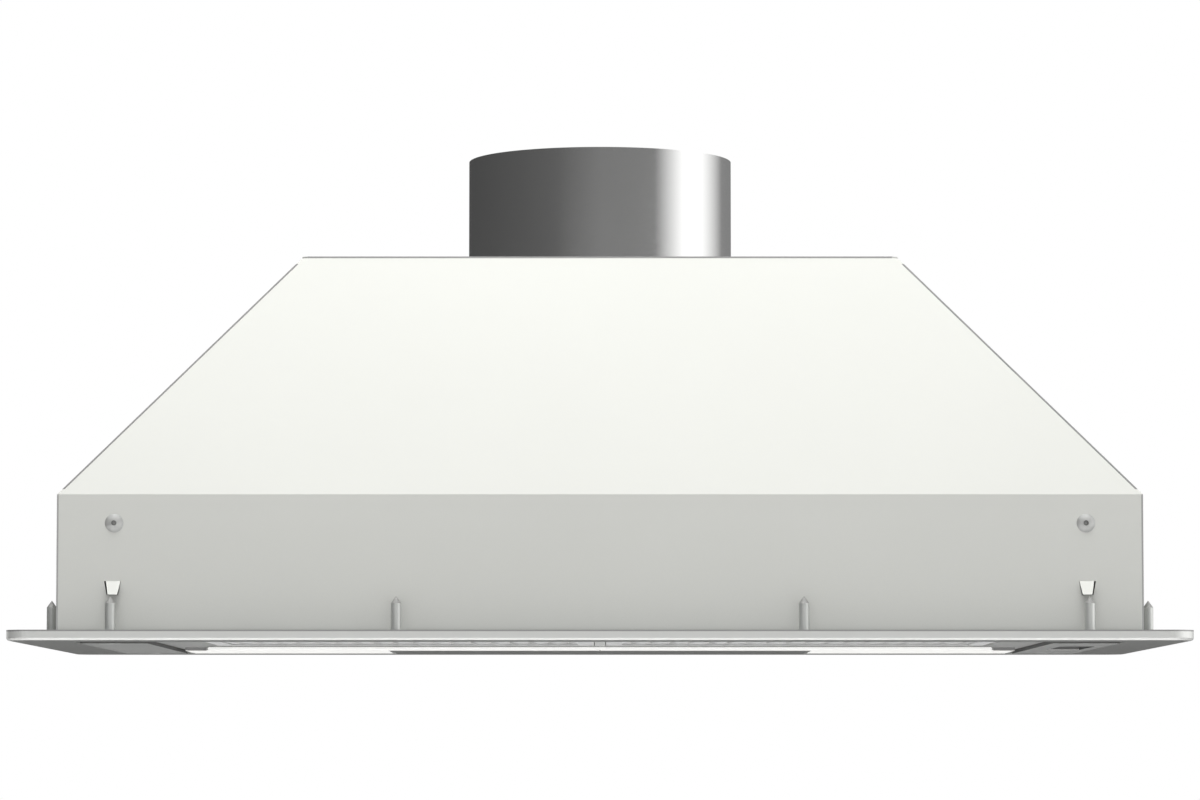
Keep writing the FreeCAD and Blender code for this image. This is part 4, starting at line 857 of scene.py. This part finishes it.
@dataclass
class MeshFilter:
    """One grease filter; its pad becomes layers of expanded mesh."""

    side: str
    cell: float = 0.0095
    rows_per_cell: float = 1.6
    strand: float = 0.0008
    layers: int = 3
    wave: float = 0.0006

    def _layer(self, mesh: bmesh.types.BMesh, low: Vector, high: Vector, level: int) -> None:
        """Add one layer of diamond strands to a mesh.

        Args:
            mesh: mesh to add to.
            low: lowest corner of the pad.
            high: highest corner of the pad.
            level: index of the layer, from the bottom.
        """
        columns = int((high.x - low.x) / self.cell)
        rows = int((high.y - low.y) / self.cell * self.rows_per_cell)
        step_x = (high.x - low.x) / columns
        step_y = (high.y - low.y) / rows
        height = low.z + (high.z - low.z) * (level + 0.5) / self.layers
        shift = level % 2
        points: dict[tuple[int, int], bmesh.types.BMVert] = {}
        for column in range(columns + 1):
            for row in range(rows + 1):
                if (column + row + shift) % 2 == 0:
                    bob = self.wave * (1 if row % 2 else -1)
                    place = (low.x + column * step_x, low.y + row * step_y, height + bob)
                    points[column, row] = mesh.verts.new(place)
        for (column, row), start in points.items():
            for side in (-1, 1):
                end = points.get((column + side, row + 1))
                if end is not None:
                    self._strand(mesh, start.co.copy(), end.co.copy())
        for vertex in points.values():
            mesh.verts.remove(vertex)

    def _strand(self, mesh: bmesh.types.BMesh, start: Vector, end: Vector) -> None:
        """Add one flat strand as a closed three-sided bar.

        Args:
            mesh: mesh to add to.
            start: one end.
            end: the other end.
        """
        along = (end - start).normalized()
        across = along.cross(Vector((0, 0, 1))).normalized() * (self.strand / 2)
        up = Vector((0, 0, self.strand / 2))
        ring = []
        for centre in (start, end):
            ring.append([mesh.verts.new(centre + across - up), mesh.verts.new(centre - across - up),
                         mesh.verts.new(centre + up)])
        first, last = ring
        mesh.faces.new(first)
        mesh.faces.new(reversed(last))
        for index in range(len(first)):
            after = (index + 1) % len(first)
            mesh.faces.new((first[index], last[index], last[after], first[after]))

    def build(self) -> bpy.types.Object:
        """Make the mesh layers that stand for the pad.

        Returns:
            The new object, riding on its filter.
        """
        node = self.side + "_filter_pad"
        low, high = (Vector(corner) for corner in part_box(node))
        mesh = bmesh.new()
        for level in range(self.layers):
            self._layer(mesh, low, high, level)
        bmesh.ops.recalc_face_normals(mesh, faces=mesh.faces)
        piece = add_piece(self.side + "_filter_mesh", mesh)
        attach(piece, self.side + "_filter")
        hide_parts(node)
        LOG.info("built %s with %d faces", piece.name, len(piece.data.polygons))
        return piece

    def dress(self, finishes: Finishes) -> None:
        """Build the mesh and give the filter its aluminium.

        Args:
            finishes: the hood's finishes.
        """
        self.build().data.materials.append(finishes.get(Finishes.MESH))
        finishes.dress(Finishes.FILTER, [self.side + "_filter_frame"])
        finishes.dress(Finishes.NET, [self.side + "_filter_net"])
        finishes.dress(Finishes.BLACK, [self.side + "_filter_latch"])


@dataclass(frozen=True)
class SoftLamp:
    """A rectangular lamp that neither the camera nor reflections show."""

    name: str
    place: Point
    aim: Point
    size: tuple[float, float]
    watts: float

    def build(self) -> None:
        """Add the lamp to the scene."""
        data = bpy.data.lights.new(self.name, "AREA")
        data.shape = "RECTANGLE"
        data.size, data.size_y = self.size
        data.energy = self.watts
        lamp = bpy.data.objects.new(self.name, data)
        lamp.location = self.place
        lamp.rotation_euler = (Vector(self.aim) - Vector(self.place)).to_track_quat("-Z", "Y").to_euler()
        lamp.visible_camera = False
        lamp.visible_glossy = False
        bpy.context.scene.collection.objects.link(lamp)


@dataclass(frozen=True)
class Screen:
    """A round wall that shows only in reflections.

    Shades are by turn, from the rear through left, front and right.
    """

    name: str
    low: float
    high: float
    shades: tuple[tuple[float, float], ...]
    radius: float = 3.6
    sides: int = 72
    strength: float = 1.8

    def _wall(self) -> bpy.types.Object:
        """Make the wall's mesh.

        Returns:
            The new object.
        """
        mesh = bmesh.new()
        rings = []
        for height in (self.low, self.high):
            ring = []
            for index in range(self.sides):
                turn = 2 * math.pi * index / self.sides
                place = (self.radius * math.cos(turn), self.radius * math.sin(turn), height)
                ring.append(mesh.verts.new(place))
            rings.append(ring)
        low, high = rings
        for index in range(self.sides):
            after = (index + 1) % self.sides
            mesh.faces.new((low[index], high[index], high[after], low[after]))
        return add_piece(self.name, mesh)

    def build(self) -> None:
        """Add the wall with its shades to the scene."""
        screen = self._wall()
        material, graph = blank_material(self.name)
        turn = graph.node("ShaderNodeMath", {"operation": "ARCTAN2"},
                          {0: graph.along("X"), 1: graph.along("Y") * -1.0})
        share = graph.value(turn) * (0.5 / math.pi) + 0.5
        stops = [(place, (shade, shade, shade)) for place, shade in self.shades]
        ramp = graph.node("ShaderNodeValToRGB", {"stops": stops}, {"Fac": share})
        glow = graph.node("ShaderNodeEmission", {},
                          {"Color": ramp.outputs["Color"], "Strength": self.strength})
        graph.node("ShaderNodeOutputMaterial", {}, {"Surface": glow.outputs[0]})
        screen.data.materials.append(material)
        screen.visible_camera = False
        screen.visible_diffuse = False
        screen.visible_shadow = False
        screen.visible_transmission = False


@dataclass
class Studio:
    """Floor, reflection screens, lamps, world and camera."""

    floor_z: float = -0.5
    floor_half: float = 2.5
    floor_dark: Colour = (0.84, 0.84, 0.84)
    floor_light: Colour = (0.88, 0.88, 0.88)
    floor_cloud: float = 3.0
    floor_octaves: float = 2.0
    fade_from: float = 0.9
    fade_to: float = 2.0
    bounce: Colour = (0.22, 0.22, 0.22)
    ambient: float = 0.35
    camera_place: Point = (0.0, -2.780, -0.0622)
    camera_pitch: float = 4.195
    camera_reach: float = 100.0
    focal_px: float = 4874.0
    image_px: float = 1200.0
    sensor_mm: float = 36.0
    screens: tuple[Screen, ...] = (
        Screen("upper_screen", low=SCREEN_SPLIT, high=2.6,
               shades=((0.0, 0.04), (0.3, 0.08), (0.4, 0.1), (0.5, 0.165), (0.635, 0.18), (0.715, 1.0),
                       (0.775, 1.0), (0.87, 0.2), (1.0, 0.12))),
        Screen("lower_screen", low=-1.0, high=SCREEN_SPLIT,
               shades=((0.0, 0.55), (0.12, 0.5), (0.2, 0.05), (0.38, 0.05), (0.43, 0.42), (0.58, 0.42),
                       (0.66, 1.0), (0.8, 1.0), (0.88, 0.5), (1.0, 0.55))),
    )
    lamps: tuple[SoftLamp, ...] = (
        SoftLamp("key", place=(0.0, -0.85, 2.0), aim=(0.0, -0.1, 0.15), size=(1.6, 1.0), watts=74.0),
        SoftLamp("front_fill", place=(0.0, -3.6, -0.15), aim=(0.0, 0.0, 0.03), size=(3.0, 0.5), watts=20.0),
        SoftLamp("left_fill", place=(-2.6, -1.6, 0.9), aim=(0.0, 0.0, 0.1), size=(1.4, 1.4), watts=8.0),
        SoftLamp("right_fill", place=(2.6, -1.6, 0.9), aim=(0.0, 0.0, 0.1), size=(1.4, 1.4), watts=5.0),
        SoftLamp("rear_fill", place=(0.0, 2.8, 1.8), aim=(0.0, 0.0, 0.1), size=(2.4, 1.4), watts=25.0),
    )

    def camera(self) -> None:
        """Place the camera at the photograph's viewing angle."""
        data = bpy.data.cameras.new("camera")
        data.sensor_width = self.sensor_mm
        data.sensor_fit = "HORIZONTAL"
        data.lens = self.focal_px / self.image_px * self.sensor_mm
        data.clip_end = self.camera_reach
        camera = bpy.data.objects.new("camera", data)
        camera.location = self.camera_place
        camera.rotation_euler = (math.radians(90.0 + self.camera_pitch), 0.0, 0.0)
        bpy.context.scene.collection.objects.link(camera)
        bpy.context.scene.camera = camera

    def world(self) -> None:
        """White background, with a plain grey sky as fill light."""
        world = bpy.data.worlds.new("studio")
        world.use_nodes = True
        bpy.context.scene.world = world
        graph = Graph(world.node_tree)
        path = graph.node("ShaderNodeLightPath", {}, {})
        seen = graph.value(path, "Is Camera Ray").larger(graph.value(path, "Is Glossy Ray"))
        seen = seen.larger(graph.value(path, "Is Transmission Ray"))
        tone = _rgba(PURE_WHITE)
        fill = graph.node("ShaderNodeBackground", {}, {"Color": tone, "Strength": self.ambient})
        white = graph.node("ShaderNodeBackground", {}, {"Color": tone, "Strength": 1.0})
        mixed = graph.node("ShaderNodeMixShader", {}, {0: seen, 1: fill.outputs[0], 2: white.outputs[0]})
        graph.node("ShaderNodeOutputWorld", {}, {"Surface": mixed.outputs[0]})

    def floor(self) -> None:
        """Pale floor below the hood, fading out around it and clear from underneath."""
        half = self.floor_half
        mesh = bmesh.new()
        corners = [(-half, -half, self.floor_z), (half, -half, self.floor_z),
                   (half, half, self.floor_z), (-half, half, self.floor_z)]
        mesh.faces.new([mesh.verts.new(corner) for corner in corners])
        floor = add_piece("floor", mesh)
        material, graph = blank_material("floor")
        back = graph.value(graph.node("ShaderNodeNewGeometry", {}, {}), "Backfacing")
        path = graph.node("ShaderNodeLightPath", {}, {})
        reach = graph.node("ShaderNodeVectorMath", {"operation": "LENGTH"}, {0: graph.place()})
        fade = graph.value(reach, "Value").step(self.fade_from, 1.0 / (self.fade_to - self.fade_from))
        hidden = back.larger(fade * graph.value(path, "Is Camera Ray"))
        cloud = graph.noise(self.floor_cloud, self.floor_octaves)
        tone = graph.blend(cloud, self.floor_dark, self.floor_light)
        tone = graph.blend(graph.value(path, "Is Diffuse Ray"), tone, self.bounce)
        paint = graph.node("ShaderNodeBsdfDiffuse", {}, {"Color": tone})
        clear = graph.node("ShaderNodeBsdfTransparent", {}, {})
        mixed = graph.node("ShaderNodeMixShader", {}, {0: hidden, 1: paint.outputs[0], 2: clear.outputs[0]})
        graph.node("ShaderNodeOutputMaterial", {}, {"Surface": mixed.outputs[0]})
        floor.data.materials.append(material)

    def build(self) -> None:
        """Set up the whole studio."""
        self.camera()
        self.world()
        self.floor()
        for piece in (*self.screens, *self.lamps):
            piece.build()
            LOG.info("set up %s", piece.name)


def main() -> None:
    """Dress the hood and set up the studio."""
    logging.basicConfig(level=logging.INFO, format="%(message)s")
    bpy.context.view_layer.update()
    bpy.context.scene.view_settings.view_transform = "Standard"
    finishes = Finishes()
    for part in (Canopy(), Pan(), Collar(), Blower(), Wiring(), Lamps()):
        part.dress(finishes)
    for side in ("left", "right"):
        MeshFilter(side).dress(finishes)
    Studio().build()


if __name__ == "__main__":
    main()
